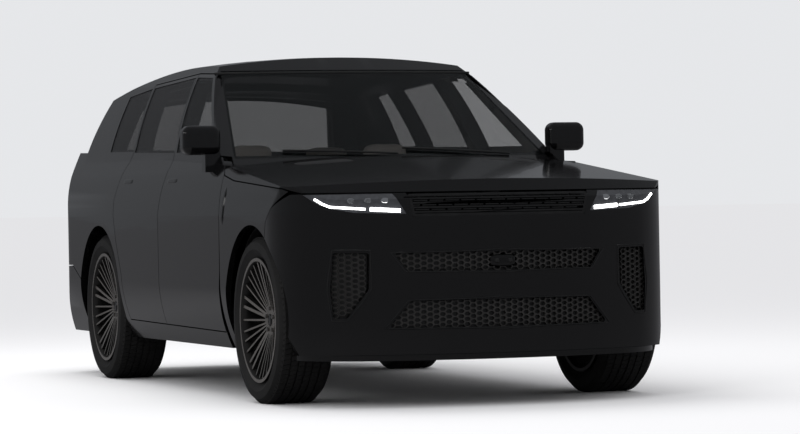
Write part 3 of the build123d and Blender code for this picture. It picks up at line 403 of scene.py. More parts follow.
def ray_point(nodes, start, way, lift=0.0):
    """Where a ray meets the surface, lifted off it towards the start, and the normal there."""
    way = Vector(way)
    point, normal, _, _ = tree_of(nodes).ray_cast(Vector(start), way)
    if point is None:
        return None, None
    if normal.dot(way) > 0:
        normal = -normal
    return point + normal * lift, normal


def front_point(nodes, x, z, lift=0.0):
    """Point and normal on the front surface at a place in front view."""
    return ray_point(nodes, (x, -RAY_FRONT, z), (0, 1, 0), lift)


def top_point(nodes, x, y, lift=0.0):
    """Point and normal on the upper surface at a place in plan view."""
    return ray_point(nodes, (x, y, RAY_TOP), (0, 0, -1), lift)


# Rounded patches that follow a surface
PATCH_COLUMNS, PATCH_ROWS = 24, 8
PATCH_SQUARENESS, PATCH_FLATNESS = 4.0, 8


def on_front(nodes, x, z):
    """Gives the points round a place in front view."""
    return lambda u, v, lift: front_point(nodes, x + u, z + v, lift)[0]


def on_side(nodes, side, y, z):
    """Gives the points round a place in side view."""
    return lambda u, v, lift: ray_point(
        nodes, (side * RAY_SIDE, y + u, z + v), (-side, 0, 0), lift
    )[0]


def on_top(nodes, side, x, y):
    """Gives the points round a place in plan view, the same on both sides."""
    return lambda u, v, lift: top_point(nodes, side * (x + u), y + v, lift)[0]


def domed_patch(name, locate, half_long, half_high, thick):
    """Rounded patch; locate turns a place on it and a lift into a point."""
    bm = bmesh.new()
    made = []
    for row in range(PATCH_ROWS + 1):
        for column in range(PATCH_COLUMNS + 1):
            u, v = 2 * column / PATCH_COLUMNS - 1, 2 * row / PATCH_ROWS - 1
            reach = max(abs(u), abs(v))
            bulge = (abs(u) ** PATCH_SQUARENESS + abs(v) ** PATCH_SQUARENESS) ** (
                1 / PATCH_SQUARENESS
            )
            shrink = reach / bulge if bulge > 0 else 1.0
            lift = thick * (1 - reach**PATCH_FLATNESS)
            point = locate(u * shrink * half_long, v * shrink * half_high, lift)
            made.append(None if point is None else bm.verts.new(point))
    wide = PATCH_COLUMNS + 1
    for row in range(PATCH_ROWS):
        for column in range(PATCH_COLUMNS):
            a = row * wide + column
            corners = [made[a], made[a + 1], made[a + 1 + wide], made[a + wide]]
            if all(corner is not None for corner in corners):
                bm.faces.new(corners)
    return from_bmesh(name, bm, smooth=True)


# Geometry node trees for what repeats
FACING = "facing"


def copying_tree(name, *extra_inputs):
    """Tree that copies a shape onto points and gives the copies a material.

    It comes back with its start and its copying node, whose points and rotation are still open.
    """
    tree = bpy.data.node_groups.new(name, "GeometryNodeTree")
    for socket, kind in (
        ("Geometry", "NodeSocketGeometry"), ("Shape", "NodeSocketObject"), *extra_inputs,
        ("Finish", "NodeSocketMaterial"),
    ):
        tree.interface.new_socket(socket, in_out="INPUT", socket_type=kind)
    tree.interface.new_socket("Geometry", in_out="OUTPUT", socket_type="NodeSocketGeometry")
    nodes, link = tree.nodes, tree.links.new
    start, end = nodes.new("NodeGroupInput"), nodes.new("NodeGroupOutput")
    shape = nodes.new("GeometryNodeObjectInfo")
    spread = nodes.new("GeometryNodeInstanceOnPoints")
    real = nodes.new("GeometryNodeRealizeInstances")
    paint = nodes.new("GeometryNodeSetMaterial")
    link(start.outputs["Shape"], shape.inputs["Object"])
    link(shape.outputs["Geometry"], spread.inputs["Instance"])
    link(spread.outputs["Instances"], real.inputs["Geometry"])
    link(real.outputs["Geometry"], paint.inputs["Geometry"])
    link(start.outputs["Finish"], paint.inputs["Material"])
    link(paint.outputs["Geometry"], end.inputs["Geometry"])
    return tree, start, spread


def pattern_on_points():
    """Tree that sets a copy on each point, turned to face the way stored there."""
    tree, start, spread = copying_tree("Cells on points")
    nodes, link = tree.nodes, tree.links.new
    facing = nodes.new("GeometryNodeInputNamedAttribute")
    facing.data_type = "FLOAT_VECTOR"
    facing.inputs["Name"].default_value = FACING
    turn = nodes.new("FunctionNodeAlignRotationToVector")
    turn.axis = "Y"
    turn.pivot_axis = "Z"
    link(start.outputs["Geometry"], spread.inputs["Points"])
    link(facing.outputs["Attribute"], turn.inputs["Vector"])
    link(turn.outputs["Rotation"], spread.inputs["Rotation"])
    return tree


def ring_of_copies():
    """Tree that turns copies of one shape round the X axis through a centre."""
    tree, start, spread = copying_tree(
        "Ring of copies", ("Count", "NodeSocketInt"), ("Centre", "NodeSocketVector")
    )
    nodes, link = tree.nodes, tree.links.new
    points = nodes.new("GeometryNodePoints")
    index = nodes.new("GeometryNodeInputIndex")
    share = nodes.new("ShaderNodeMath")
    share.operation = "DIVIDE"
    angle = nodes.new("ShaderNodeMath")
    angle.operation = "MULTIPLY"
    angle.inputs[1].default_value = 2 * pi
    turn = nodes.new("ShaderNodeCombineXYZ")
    link(start.outputs["Count"], points.inputs["Count"])
    link(start.outputs["Centre"], points.inputs["Position"])
    link(index.outputs["Index"], share.inputs[0])
    link(start.outputs["Count"], share.inputs[1])
    link(share.outputs[0], angle.inputs[0])
    link(angle.outputs[0], turn.inputs["X"])
    link(points.outputs["Points"], spread.inputs["Points"])
    link(turn.outputs["Vector"], spread.inputs["Rotation"])
    return tree


CELLS = pattern_on_points()
RING = ring_of_copies()


def grown(name, base, tree, **values):
    """Plain mesh made by a geometry tree on a base object, with the tree's inputs set by name."""
    in_scene(base)
    modifier = base.modifiers.new(name, "NODES")
    modifier.node_group = tree
    for item in tree.interface.items_tree:
        if item.in_out == "INPUT" and item.name in values:
            modifier[item.identifier] = values[item.name]
    base.update_tag()
    depsgraph = bpy.context.evaluated_depsgraph_get()
    mesh = bpy.data.meshes.new_from_object(base.evaluated_get(depsgraph))
    mesh.name = name
    bpy.data.objects.remove(base)
    return bpy.data.objects.new(name, mesh)


def facing_points(name, points, facings):
    """Loose points that carry the way each one faces."""
    piece = mesh_piece(name, points, [])
    facing = piece.data.attributes.new(FACING, "FLOAT_VECTOR", "POINT")
    facing.data.foreach_set("vector", [value for normal in facings for value in normal])
    return piece


# Panels, glass and trim that stand for the CAD nodes
for material, nodes in (
    (PAINT, (
        "body_shell", "door_front_left", "door_front_right", "door_rear_left", "door_rear_right",
        "bonnet", "front_wings", "front_bumper", "rear_bumper", "tailgate", "mirror_left",
        "mirror_right", "roof",
    )),
    (GLOSS_BLACK, ("roof_glass", "front_splitter")),
    (GLASS, ("windscreen", "door_front_glass_left", "door_front_glass_right")),
    (PRIVACY, (
        "door_rear_glass_left", "door_rear_glass_right", "quarter_glasses", "tailgate_glass",
    )),
    (LAMP_FACE, ("headlamps",)),
    (TAIL_RED, ("tail_lamps",)),
    (GRILLE_METAL, ("front_grille",)),
    (SATIN_BLACK, ("bumper_meshes",)),
    (DASH_SKIN, ("dashboard", "steering_wheel")),
    (STEEL, ("exhaust",)),
):
    for node in nodes:
        skin(node, material)

# Running gear and structure that keep their CAD mesh
for material, nodes in (
    (CAST, (
        "knuckle_left", "knuckle_right", "front_suspension", "rear_suspension", "engine_block",
    )),
    (UNDERSEAL, ("front_structure", "floor_pan")),
):
    for node in nodes:
        dress(node, material)

# Wheels: tread, shoulder ribs, nuts and hub caps on the tyres and rims
TYRE_RADIUS = 0.406
WHEEL_X, WHEEL_Z = 0.8425, TYRE_RADIUS
AXLES = {"front": -1.605, "rear": 1.392}
WHEEL_CREASE, TYRE_CREASE = 30.0, 40.0

# The front of spokes, hub and lip, which the lathe has cut bright
BRIGHT_OUT, BRIGHT_FACING = WHEEL_X + 0.045, 0.75

# The outside of the CAD tyre sinks to the bottom of the tread's grooves
CROWN_RADIUS, GROOVE_DEPTH = 0.399, 0.007
BLOCKS = (
    (-0.096, 0.017), (-0.056, 0.016), (-0.019, 0.014), (0.019, 0.014), (0.056, 0.016),
    (0.096, 0.017),
)
BLOCK_FOOT, BLOCK_HALF_ROUND, BLOCK_SLANT, ROW_SLANT = 0.396, 0.0125, 0.25, 0.125
RIB_CORNERS = ((0.1385, 0.376), (0.1345, 0.3765), (0.1105, 0.4045), (0.1125, 0.4055))
RIB_HALF_ROUND = 0.009
PITCH_COUNT, NUT_COUNT = 90, 5
NUT_FOOT, NUT_TOP, NUT_DEEP, NUT_CIRCLE, NUT_OUT = 0.011, 0.009, 0.02, 0.057, 0.064
CAP_PROFILE = ((0.0, 0.0), (0.012, 0.001), (0.026, 0.0), (0.031, -0.003), (0.033, -0.010))
CAP_OUT, CAP_STEPS = 0.0702, 40


def tread():
    """All the blocks of one pitch across the tyre, at its top."""
    bm = bmesh.new()
    half_deep, middle = (TYRE_RADIUS - BLOCK_FOOT) / 2, (TYRE_RADIUS + BLOCK_FOOT) / 2
    for x, half_wide in BLOCKS:
        verts = bmesh.ops.create_cube(bm, size=2.0)["verts"]
        bmesh.ops.scale(bm, vec=(half_wide, BLOCK_HALF_ROUND, half_deep), verts=verts)
        bmesh.ops.translate(bm, vec=(0, 0, middle), verts=verts)
        for vert in verts:
            vert.co.y += BLOCK_SLANT * vert.co.x
        bmesh.ops.translate(bm, vec=(x, -ROW_SLANT * x, 0), verts=verts)
    return in_scene(from_bmesh("tread_pitch", bm))


def shoulder_rib():
    """One raised rib where the sidewall meets the tread, on both sides."""
    bm = bmesh.new()
    for side in (1, -1):
        rings = []
        for y in (-RIB_HALF_ROUND, RIB_HALF_ROUND):
            rings.append([bm.verts.new((side * x, y, z)) for x, z in RIB_CORNERS])
        bridge(bm, *rings)
        bm.faces.new(rings[0])
        bm.faces.new(rings[1][::-1])
    return in_scene(from_bmesh("shoulder_rib", bm))


def wheel_nut():
    """One nut sunk in the hub, above the wheel's centre."""
    bm = bmesh.new()
    bmesh.ops.create_cone(
        bm, cap_ends=True, segments=6, radius1=NUT_FOOT, radius2=NUT_TOP, depth=NUT_DEEP
    )
    bmesh.ops.rotate(bm, matrix=Matrix.Rotation(radians(90), 3, "Y"), verts=bm.verts)
    bmesh.ops.translate(bm, vec=(0, 0, NUT_CIRCLE), verts=bm.verts)
    return in_scene(from_bmesh("nut", bm))


def hub_cap(name, side, centre):
    """Plain domed cap in the middle of a wheel."""
    profile = [(side * (CAP_OUT + lift), radius) for radius, lift in CAP_PROFILE]
    cap = from_bmesh(name, turned(profile, CAP_STEPS), smooth=True)
    cap.data.transform(Matrix.Translation(centre))
    return cap


def cut_bright(side):
    """Test of the faces that the lathe has cut, for the wheels of one side."""
    return lambda centre, normal: (
        normal.x * side > BRIGHT_FACING and centre.x * side > BRIGHT_OUT
    )


def sink_crown(tyre, centre):
    """Moves the outside of a tyre in, to leave room for the tread's grooves."""
    for vert in tyre.data.vertices:
        spoke = Vector((0.0, vert.co.y - centre.y, vert.co.z - centre.z))
        if spoke.length > CROWN_RADIUS:
            vert.co -= spoke.normalized() * GROOVE_DEPTH


PITCH, RIB, NUT = tread(), shoulder_rib(), wheel_nut()
for end, axle_y in AXLES.items():
    for side_name, side in SIDES:
        stem = f"{end}_{side_name}"
        body = BODY_OF[f"wheel_{stem}"]
        centre = Vector((side * WHEEL_X, axle_y, WHEEL_Z))
        sink_crown(skin(f"tyre_{stem}", RUBBER, crease=TYRE_CREASE), centre)
        skin(f"wheel_{stem}", ALLOY, crease=WHEEL_CREASE, accent=(MACHINED, cut_bright(side)))
        for name, shape, count, out, slot, material in (
            ("tread", PITCH, PITCH_COUNT, 0.0, "tyre", RUBBER),
            ("ribs", RIB, PITCH_COUNT, 0.0, "tyre", RUBBER),
            ("nuts", NUT, NUT_COUNT, NUT_OUT, "alloy", STEEL),
        ):
            piece = grown(
                f"{stem}_{name}", mesh_piece("seed", [(0, 0, 0)], []), RING, Shape=shape,
                Count=count, Centre=tuple(centre + Vector((side * out, 0, 0))), Finish=material,
            )
            place(piece, body, slot)
        place(hub_cap(f"{stem}_hub_cap", side, centre), body, "alloy", GLOSS_BLACK)
for shape in (PITCH, RIB, NUT):
    bpy.data.objects.remove(shape)

# Honeycomb and thin frames in the bumper's openings, whose outlines are in front view
MESH_PLATES = ("bumper_meshes",)
LEFT_OPENING = [
    (0.640, 0.560), (0.636, 0.733), (0.792, 0.735), (0.806, 0.560), (0.796, 0.425),
    (0.735, 0.425),
]
OPENINGS = {
    "upper": [(-0.462, 0.641), (-0.527, 0.731), (0.527, 0.731), (0.462, 0.641)],
    "lower": [(-0.560, 0.375), (-0.450, 0.505), (0.450, 0.505), (0.560, 0.375)],
    "left": LEFT_OPENING,
    "right": [(-x, z) for x, z in reversed(LEFT_OPENING)],
}
CELL_HALF_WIDE, CELL_HALF_HIGH, CELL_HALF_DEEP, CELL_RIM = 0.0195, 0.0125, 0.007, 0.0028
CELL_CORNER_HIGH, CELL_BACK_SHRINK = 1.155, 0.97
FRAME_STEPS, FRAME_OUT, FRAME_RADIUS = 16, 0.012, 0.004


def hexagon_cell():
    """One honeycomb cell, a six-sided frame with its back sloping in."""
    outer = []
    for k in range(6):
        turn = k * pi / 3
        outer.append(
            (cos(turn) * CELL_HALF_WIDE, sin(turn) * CELL_HALF_HIGH * CELL_CORNER_HIGH)
        )
    shrink = 1 - CELL_RIM / CELL_HALF_HIGH
    bm = bmesh.new()
    loops = []
    for scale, y in (
        (1.0, CELL_HALF_DEEP), (1.0, -CELL_HALF_DEEP), (shrink, -CELL_HALF_DEEP),
        (shrink * CELL_BACK_SHRINK, CELL_HALF_DEEP),
    ):
        loops.append([bm.verts.new((x * scale, y, z * scale)) for x, z in outer])
    for one, two in zip(loops, loops[1:] + loops[:1]):
        bridge(bm, one, two)
    return in_scene(from_bmesh("honeycomb_cell", bm))


def inside(outline, x, z):
    """Whether a place in front view is inside an outline."""
    hit = False
    for (x1, z1), (x2, z2) in zip(outline, outline[1:] + outline[:1]):
        if (z1 > z) != (z2 > z) and x < (x2 - x1) * (z - z1) / (z2 - z1) + x1:
            hit = not hit
    return hit


def lattice(outline):
    """Staggered places of the cells inside an outline."""
    step_x, step_z = CELL_HALF_WIDE * 1.5, CELL_HALF_HIGH * 2
    low_x, high_x = min(x for x, _ in outline), max(x for x, _ in outline)
    low_z, high_z = min(z for _, z in outline), max(z for _, z in outline)
    column = 0
    x = low_x
    while x <= high_x:
        z = low_z + (step_z / 2 if column % 2 else 0.0)
        while z <= high_z:
            if inside(outline, x, z):
                yield x, z
            z += step_z
        x += step_x
        column += 1


def honeycomb(name, outline, cell):
    """Honeycomb cells over one opening, standing on its plate."""
    points, facings = [], []
    for x, z in lattice(outline):
        point, normal = front_point(MESH_PLATES, x, z, CELL_HALF_DEEP)
        if point is not None:
            points.append(point)
            facings.append(-normal)
    piece = grown(
        name, facing_points(name, points, facings), CELLS, Shape=cell, Finish=MESH_METAL
    )
    place(piece, "body", "black_trim")


def mesh_frame(name, outline):
    """Thin frame on the bumper round one opening."""
    middle_x = sum(x for x, _ in outline) / len(outline)
    middle_z = sum(z for _, z in outline) / len(outline)
    line = []
    for (x1, z1), (x2, z2) in zip(outline, outline[1:] + outline[:1]):
        for step in range(FRAME_STEPS):
            share = step / FRAME_STEPS
            x, z = x1 + (x2 - x1) * share, z1 + (z2 - z1) * share
            away = Vector((x - middle_x, z - middle_z)).normalized() * FRAME_OUT
            point, _ = front_point(("front_bumper",), x + away.x, z + away.y)
            if point is not None:
                line.append(point)
    line.append(line[0])
    place(rod(name, line, FRAME_RADIUS), "body", "black_trim", GRILLE_METAL)


CELL = hexagon_cell()
for name, outline in OPENINGS.items():
    honeycomb(f"{name}_honeycomb", outline, CELL)
bpy.data.objects.remove(CELL)
for name, outline in OPENINGS.items():
    mesh_frame(f"{name}_frame", outline)

# Sensor block in the upper opening
SENSOR_Z, EYE_X = 0.686, 0.034
for name, x, half_wide, half_high, thick, material in (
    ("sensor_block", 0.0, 0.070, 0.036, 0.022, GLOSS_BLACK),
    ("sensor_eye_left", EYE_X, 0.014, 0.014, 0.026, SATIN_BLACK),
    ("sensor_eye_right", -EYE_X, 0.014, 0.014, 0.026, SATIN_BLACK),
):
    patch = domed_patch(name, on_front(MESH_PLATES, x, SENSOR_Z), half_wide, half_high, thick)
    place(patch, "body", "black_trim", material)

# Grille: staggered short blades in the gaps between the slats, on the bow of the nose
NOSE_Y, NOSE_BOW = -2.438, 1.78
GRILLE_LOW, GRILLE_HIGH, GRILLE_ROWS = 0.900, 1.008, 5
GRILLE_HALF, GRILLE_FLARE = 0.420, 0.2
BLADE_PITCH, BLADE_SET_BACK = 0.075, 0.012
BLADE_HALF, BLADE_BEVEL = (0.0335, 0.010, 0.0028), 0.0009
blade_points, blade_facings = [], []
for row in range(GRILLE_ROWS):
    z = GRILLE_LOW + (GRILLE_HIGH - GRILLE_LOW) / GRILLE_ROWS * (row + 0.5)
    reach = GRILLE_HALF + GRILLE_FLARE * (z - GRILLE_LOW)
    x = -reach + (BLADE_PITCH / 2 if row % 2 else 0.0)
    while x <= reach:
        nearest = NOSE_Y + NOSE_BOW - (NOSE_BOW**2 - x**2) ** 0.5
        blade_points.append(Vector((x, nearest + BLADE_SET_BACK, z)))
        blade_facings.append(Vector((-x / NOSE_BOW, (1 - (x / NOSE_BOW) ** 2) ** 0.5, 0)))
        x += BLADE_PITCH
blade = in_scene(rounded_box("blade", BLADE_HALF, BLADE_BEVEL))
blades = grown(
    "grille_blades", facing_points("grille_blades", blade_points, blade_facings), CELLS,
    Shape=blade, Finish=GRILLE_METAL,
)
bpy.data.objects.remove(blade)
place(blades, "body", "black_trim")

# Headlamps: light guides and projectors, from corners in front view
LAMP = ("headlamps",)
GUIDE_STEPS, GUIDE_LIFT = 20, 0.001
GUIDES = (
    ("thin", 0.0055, ((0.862, 0.990), (0.832, 0.966), (0.800, 0.951), (0.640, 0.938))),
    ("thick", 0.0095, ((0.628, 0.938), (0.485, 0.929))),
)
EYES = ((0.560, MIRROR_GLASS), (0.635, LENS), (0.710, LENS))
EYE_Z, EYE_RADIUS, EYE_STRETCH = 0.979, 0.017, (1.25, 0.35, 0.75)
EYE_STEPS, EYE_ROWS = 24, 12


def guide_line(side, corners):
    """Points along a light guide on the lamp's face."""
    points = []
    for (x1, z1), (x2, z2) in zip(corners, corners[1:]):
        for step in range(GUIDE_STEPS):
            share = step / GUIDE_STEPS
            x, z = x1 + (x2 - x1) * share, z1 + (z2 - z1) * share
            point, _ = front_point(LAMP, side * x, z, GUIDE_LIFT)
            if point is not None:
                points.append(point)
    return points


def projector(name, point):
    """Flattened ball on the lamp's face, with its poles above and below."""
    bends = [pi * k / EYE_ROWS for k in range(EYE_ROWS + 1)]
    bm = turned([(-EYE_RADIUS * cos(bend), EYE_RADIUS * sin(bend)) for bend in bends], EYE_STEPS)
    for vert in bm.verts:
        vert.co = vert.co.zyx
    bmesh.ops.scale(bm, vec=EYE_STRETCH, verts=bm.verts)
    eye = from_bmesh(name, bm, smooth=True)
    eye.data.transform(Matrix.Translation(point))
    return eye


for side_name, side in SIDES:
    for kind, radius, corners in GUIDES:
        guide = rod(f"daylight_{kind}_{side_name}", guide_line(side, corners), radius)
        place(guide, "body", "lamp", DAYLIGHT)
    for number, (x, material) in enumerate(EYES):
        point, _ = front_point(LAMP, side * x, EYE_Z)
        if point is not None:
            place(projector(f"projector_{side_name}_{number}", point), "body", "lamp", material)

# Door handles and wing gills, with places in side view and half sizes
HANDLES = (("front", -0.050, 1.104), ("rear", 0.872, 1.111))
HANDLE_SIZE = (0.098, 0.013, 0.004)
GILL_Y, GILL_Z = -1.115, 0.965
GILL_SIZE = (0.028, 0.095, 0.005)
for side_name, side in SIDES:
    for end, y, z in HANDLES:
        door = f"door_{end}_{side_name}"
        on_door = on_side((door,), side, y, z)
        handle = domed_patch(f"handle_{end}_{side_name}", on_door, *HANDLE_SIZE)
        place(handle, door, "paint", GLOSS_BLACK)
    on_wing = on_side(("front_wings",), side, GILL_Y, GILL_Z)
    place(domed_patch(f"gill_{side_name}", on_wing, *GILL_SIZE), "body", "black_trim", GLOSS_BLACK)

# Bonnet vents near its rear corners
VENT_X, VENT_Y, VENT_SIZE = 0.50, -1.235, (0.15, 0.055, 0.004)
for side_name, side in SIDES:
    on_bonnet = on_top(("bonnet",), side, VENT_X, VENT_Y)
    vent = domed_patch(f"bonnet_vent_{side_name}", on_bonnet, *VENT_SIZE)
    place(vent, "bonnet", "paint", SATIN_BLACK)

# Wipers parked low on the windscreen, along the bow of its foot
WIPER_ENDS = ((0.62, 0.02), (-0.02, -0.60))
WIPER_STEPS, WIPER_LIFT, WIPER_RADIUS = 14, 0.010, 0.006
WIPER_Y, WIPER_RISE = -0.985, 0.05
FOOT_BOW, FOOT_HALF = 0.16, 0.9
for number, (foot_x, tip_x) in enumerate(WIPER_ENDS):
    line = []
    for step in range(WIPER_STEPS + 1):
        share = step / WIPER_STEPS
        x = foot_x + (tip_x - foot_x) * share
        y = WIPER_Y + FOOT_BOW * (x / FOOT_HALF) ** 2 + WIPER_RISE * share
        point, _ = top_point(("windscreen", "body_shell"), x, y, WIPER_LIFT)
        if point is not None:
            line.append(point)
    place(rod(f"wiper_{number}", line, WIPER_RADIUS), "body", "black_trim", SATIN_BLACK)

# Seal between the windscreen's upper edge and the roof, with its ends drawn on
HEADER = ("roof", "windscreen", "body_shell")
SEAL_Z, SEAL_HALF, SEAL_STEPS, SEAL_RADIUS = 1.673, 0.676, 40, 0.008
SEAL_BELOW, SEAL_OVER, SEAL_DROP, SEAL_TIP = 0.012, 0.010, 0.003, 0.045
EDGE_STEP_MAX = 0.12
seal_line = []
for step in range(SEAL_STEPS + 1):
    x = SEAL_HALF * (2 * step / SEAL_STEPS - 1)
    below, _ = front_point(HEADER, x, SEAL_Z - SEAL_BELOW)
    over, _ = front_point(HEADER, x, SEAL_Z + SEAL_OVER)
    if below is not None and over is not None and 0.0 < over.y - below.y < EDGE_STEP_MAX:
        seal_line.append((below + over) / 2 - Vector((0, 0, SEAL_DROP)))
first, last = seal_line[0], seal_line[-1]
seal_line.insert(0, first + (first - seal_line[1]).normalized() * SEAL_TIP)
seal_line.append(last + (last - seal_line[-2]).normalized() * SEAL_TIP)
place(rod("header_seal", seal_line, SEAL_RADIUS), "body", "black_trim", SATIN_BLACK)

# Mirror glasses, on the rear faces of the mirrors
MIRROR_X, MIRROR_Z, MIRROR_RAY_Y = 1.0, 1.303, 0.5
MIRROR_SIZE = (0.070, 0.045, 0.002)


def on_mirror(side_name, side):
    """Gives the points round the middle of a mirror's rear face."""
    def locate(u, v, lift):
        """Point on the face, lifted straight back."""
        start = (side * MIRROR_X + u, MIRROR_RAY_Y, MIRROR_Z + v)
        point, _ = ray_point((f"mirror_{side_name}",), start, (0, -1, 0))
        return None if point is None else point + Vector((0, lift, 0))
    return locate


for side_name, side in SIDES:
    glass = domed_patch(f"mirror_glass_{side_name}", on_mirror(side_name, side), *MIRROR_SIZE)
    place(glass, f"door_front_{side_name}", "glass", MIRROR_GLASS)

# Seats: each row's place and width, then its pads from the seat's middle and the cabin floor
CABIN_FLOOR = 0.2863
SEAT_ROWS = (("front", 0.390, -0.060, 0.50), ("rear", 0.330, 0.800, 0.56))
BACK_LEAN, BACK_FOOT_Y, BACK_FOOT_Z = 14.0, 0.24, 0.20
REST_HALF = 0.12
SEAT_PADS = (
    ("cushion", None, (-0.26, 0.26), (0.17, 0.30), 0.0),
    ("back", None, (0.19, 0.32), (BACK_FOOT_Z, 0.84), BACK_LEAN),
    ("headrest", REST_HALF, (0.43, 0.52), (0.86, 1.01), 0.0),
)
PAD_CUTS, PAD_SQUARENESS, PAD_CROWN = 7, 5, 0.16
SEAM_DEPTH, SEAM_TURN, SEAM_SHARPNESS = 0.03, 9.0, 12
PLINTH_INSET, PLINTH_HALF_LONG, PLINTH_HALF_HIGH = 0.07, 0.18, 0.085
PLINTH_BEVEL, PLINTH_Z = 0.02, 0.09
STALK_X, STALK_RADIUS = 0.05, 0.006
STALK_FOOT, STALK_TOP = (0.44, 0.78), (0.47, 0.90)


def pad(name, low, high, lean, pivot):
    """Crowned cushion with seams between two corners, leaning back about a line across it."""
    bm = bmesh.new()
    bmesh.ops.create_cube(bm, size=2.0)
    bmesh.ops.subdivide_edges(bm, edges=bm.edges[:], cuts=PAD_CUTS, use_grid_fill=True)
    half = [(b - a) / 2 for a, b in zip(low, high)]
    mid = [(b + a) / 2 for a, b in zip(low, high)]
    turn = Matrix.Rotation(radians(-lean), 4, "X")
    origin = Vector((0.0, *pivot))
    for vert in bm.verts:
        u = Vector(vert.co)
        u = u / sum(abs(value) ** PAD_SQUARENESS for value in u) ** (1 / PAD_SQUARENESS)
        pull = 1 - PAD_CROWN * (1 - max(abs(value) for value in u))
        seam = 1 - SEAM_DEPTH * max(0.0, cos(u.x * SEAM_TURN)) ** SEAM_SHARPNESS
        vert.co = Vector(
            (mid[0] + half[0] * u.x * pull, mid[1] + half[1] * u.y * pull * seam,
             mid[2] + half[2] * u.z * pull * seam)
        )
        if lean:
            vert.co = turn @ (vert.co - origin) + origin
    piece = from_bmesh(name, bm, smooth=True)
    rounding = piece.modifiers.new("round", "SUBSURF")
    rounding.levels = rounding.render_levels = 1
    return piece


def stalks(name, mid, y):
    """The two bars that carry a headrest."""
    pair = []
    for x in (mid - STALK_X, mid + STALK_X):
        line = [(x, y + back, CABIN_FLOOR + up) for back, up in (STALK_FOOT, STALK_TOP)]
        pair.append(rod("stalk", line, STALK_RADIUS))
    return joined(name, pair)


for row, x, y, wide in SEAT_ROWS:
    for side_name, side in SIDES:
        mid = side * x
        stem = f"{row}_{side_name}"
        parts = []
        for kind, own_half, (near, far), (low, high), lean in SEAT_PADS:
            half = own_half or wide / 2
            piece = pad(
                f"{kind}_{stem}", (mid - half, y + near, CABIN_FLOOR + low),
                (mid + half, y + far, CABIN_FLOOR + high), lean,
                (y + BACK_FOOT_Y, CABIN_FLOOR + BACK_FOOT_Z),
            )
            place(piece, "body", "hide", HIDE)
            parts.append(piece)
        plinth = rounded_box(
            f"plinth_{stem}", (wide / 2 - PLINTH_INSET, PLINTH_HALF_LONG, PLINTH_HALF_HIGH),
            PLINTH_BEVEL, middle=(mid, y, CABIN_FLOOR + PLINTH_Z),
        )
        parts.append(place(plinth, "body", "dash", SATIN_BLACK))
        parts.append(place(stalks(f"stalks_{stem}", mid, y), "body", "dash", STEEL))
        for piece in parts:
            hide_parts(f"{row}_seats")

# Centre screen on the dashboard
SCREEN_HALF, SCREEN_MIDDLE, SCREEN_BEVEL = (0.165, 0.010, 0.095), (0.0, -0.595, 1.015), 0.006
screen = rounded_box("centre_screen", SCREEN_HALF, SCREEN_BEVEL, segments=3, middle=SCREEN_MIDDLE)
place(screen, "body", "dash", GLOSS_BLACK)

# Camera, as fitted to the photograph
scene = bpy.context.scene
scene.view_settings.view_transform = "Standard"
AZIMUTH, ELEVATION, ROLL = radians(19.1947), radians(0.2044), radians(-1.0199)
CAMERA_AT = (-5.817, -17.656, 0.957)
FOCAL_PIXELS, PICTURE_PIXELS, SENSOR_WIDE = 3441.58, 800, 36.0
CAMERA_REACH = 1500.0
forward = Vector((sin(AZIMUTH) * cos(ELEVATION), cos(AZIMUTH) * cos(ELEVATION), -sin(ELEVATION)))
level = Vector((cos(AZIMUTH), -sin(AZIMUTH), 0.0))
right = level * cos(ROLL) + level.cross(forward) * sin(ROLL)
up = right.cross(forward)
camera = bpy.data.cameras.new("camera")
camera.sensor_width = SENSOR_WIDE
camera.lens = FOCAL_PIXELS / PICTURE_PIXELS * SENSOR_WIDE
camera.clip_end = CAMERA_REACH
viewer = in_scene(bpy.data.objects.new("camera", camera))
viewer.matrix_world = (
    Matrix.Translation(CAMERA_AT) @ Matrix((right, up, -forward)).transposed().to_4x4()
)
scene.camera = viewer

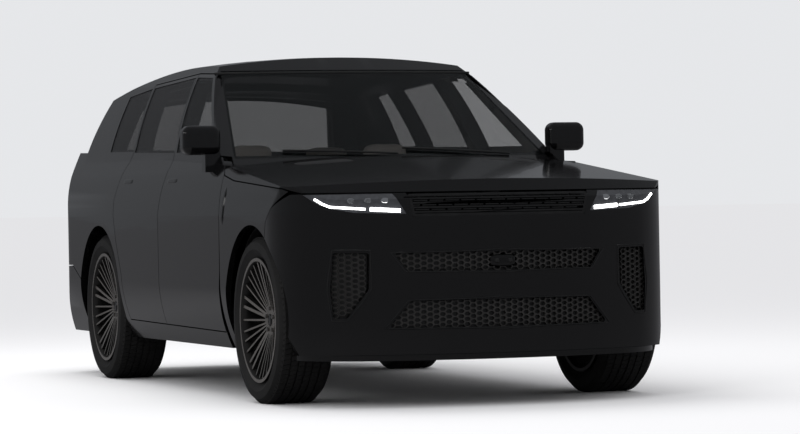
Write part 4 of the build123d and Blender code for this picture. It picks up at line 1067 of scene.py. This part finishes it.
# Studio air: one tone to light with, one to look at, and a dark one for reflections
AIR_LIGHT, AIR_SEEN, AIR_MIRRORED = (0.82, 0.82, 0.84), (0.79, 0.80, 0.82), (0.15, 0.155, 0.165)
world = bpy.data.worlds.new("studio_air")
world.use_nodes = True
scene.world = world
air = world.node_tree
paths = air.nodes.new("ShaderNodeLightPath")
seen = air.nodes.new("ShaderNodeMath")
seen.operation = "MAXIMUM"
air.links.new(paths.outputs["Is Camera Ray"], seen.inputs[0])
air.links.new(paths.outputs["Is Transmission Ray"], seen.inputs[1])
straight = colour_mix(air, seen.outputs[0], AIR_LIGHT, AIR_SEEN)
tone = colour_mix(air, paths.outputs["Is Glossy Ray"], straight, AIR_MIRRORED)
air.links.new(tone, air.nodes["Background"].inputs["Color"])

# Studio floor: bright to look at, dim as a source of light
FLOOR_LIGHT, FLOOR_SEEN, FLOOR_HALF = (0.16, 0.16, 0.165), (0.95, 0.95, 0.95), 500.0
floor_material = bpy.data.materials.new("studio_floor")
floor_material.use_nodes = True
ground = floor_material.node_tree
ground_paths = ground.nodes.new("ShaderNodeLightPath")
ground_tone = colour_mix(ground, ground_paths.outputs["Is Camera Ray"], FLOOR_LIGHT, FLOOR_SEEN)
ground_shader = ground.nodes["Principled BSDF"]
ground.links.new(ground_tone, ground_shader.inputs["Base Color"])
ground_shader.inputs["Roughness"].default_value = 1.0
ground_shader.inputs["Specular IOR Level"].default_value = 0.0
CORNERS = [(FLOOR_HALF * x, FLOOR_HALF * y, 0) for x, y in ((-1, -1), (1, -1), (1, 1), (-1, 1))]
floor = in_scene(mesh_piece("studio_floor", CORNERS, [(0, 1, 2, 3)]))
floor.data.materials.append(floor_material)


def softbox(name, at, aim, size, power, mirrored=True):
    """Large soft lamp that points at a place, and may be left out of reflections."""
    lamp = bpy.data.lights.new(name, "AREA")
    lamp.shape = "RECTANGLE"
    lamp.size, lamp.size_y = size
    lamp.energy = power
    thing = in_scene(bpy.data.objects.new(name, lamp))
    turn = (Vector(at) - Vector(aim)).to_track_quat("Z", "Y").to_matrix().to_4x4()
    thing.matrix_world = Matrix.Translation(at) @ turn
    thing.visible_glossy = mirrored


softbox("overhead", (-1.0, 1.5, 6.0), (0.3, 0.0, 0), (4.0, 5.0), 160.0, mirrored=False)
softbox("front_fill", (-7.0, -8.0, 5.0), (0, -1.0, 0.6), (3.0, 3.0), 120.0, mirrored=False)
softbox("side_strip", (-9.0, 1.0, 3.2), (0, 0.5, 1.2), (9.0, 0.8), 45.0)
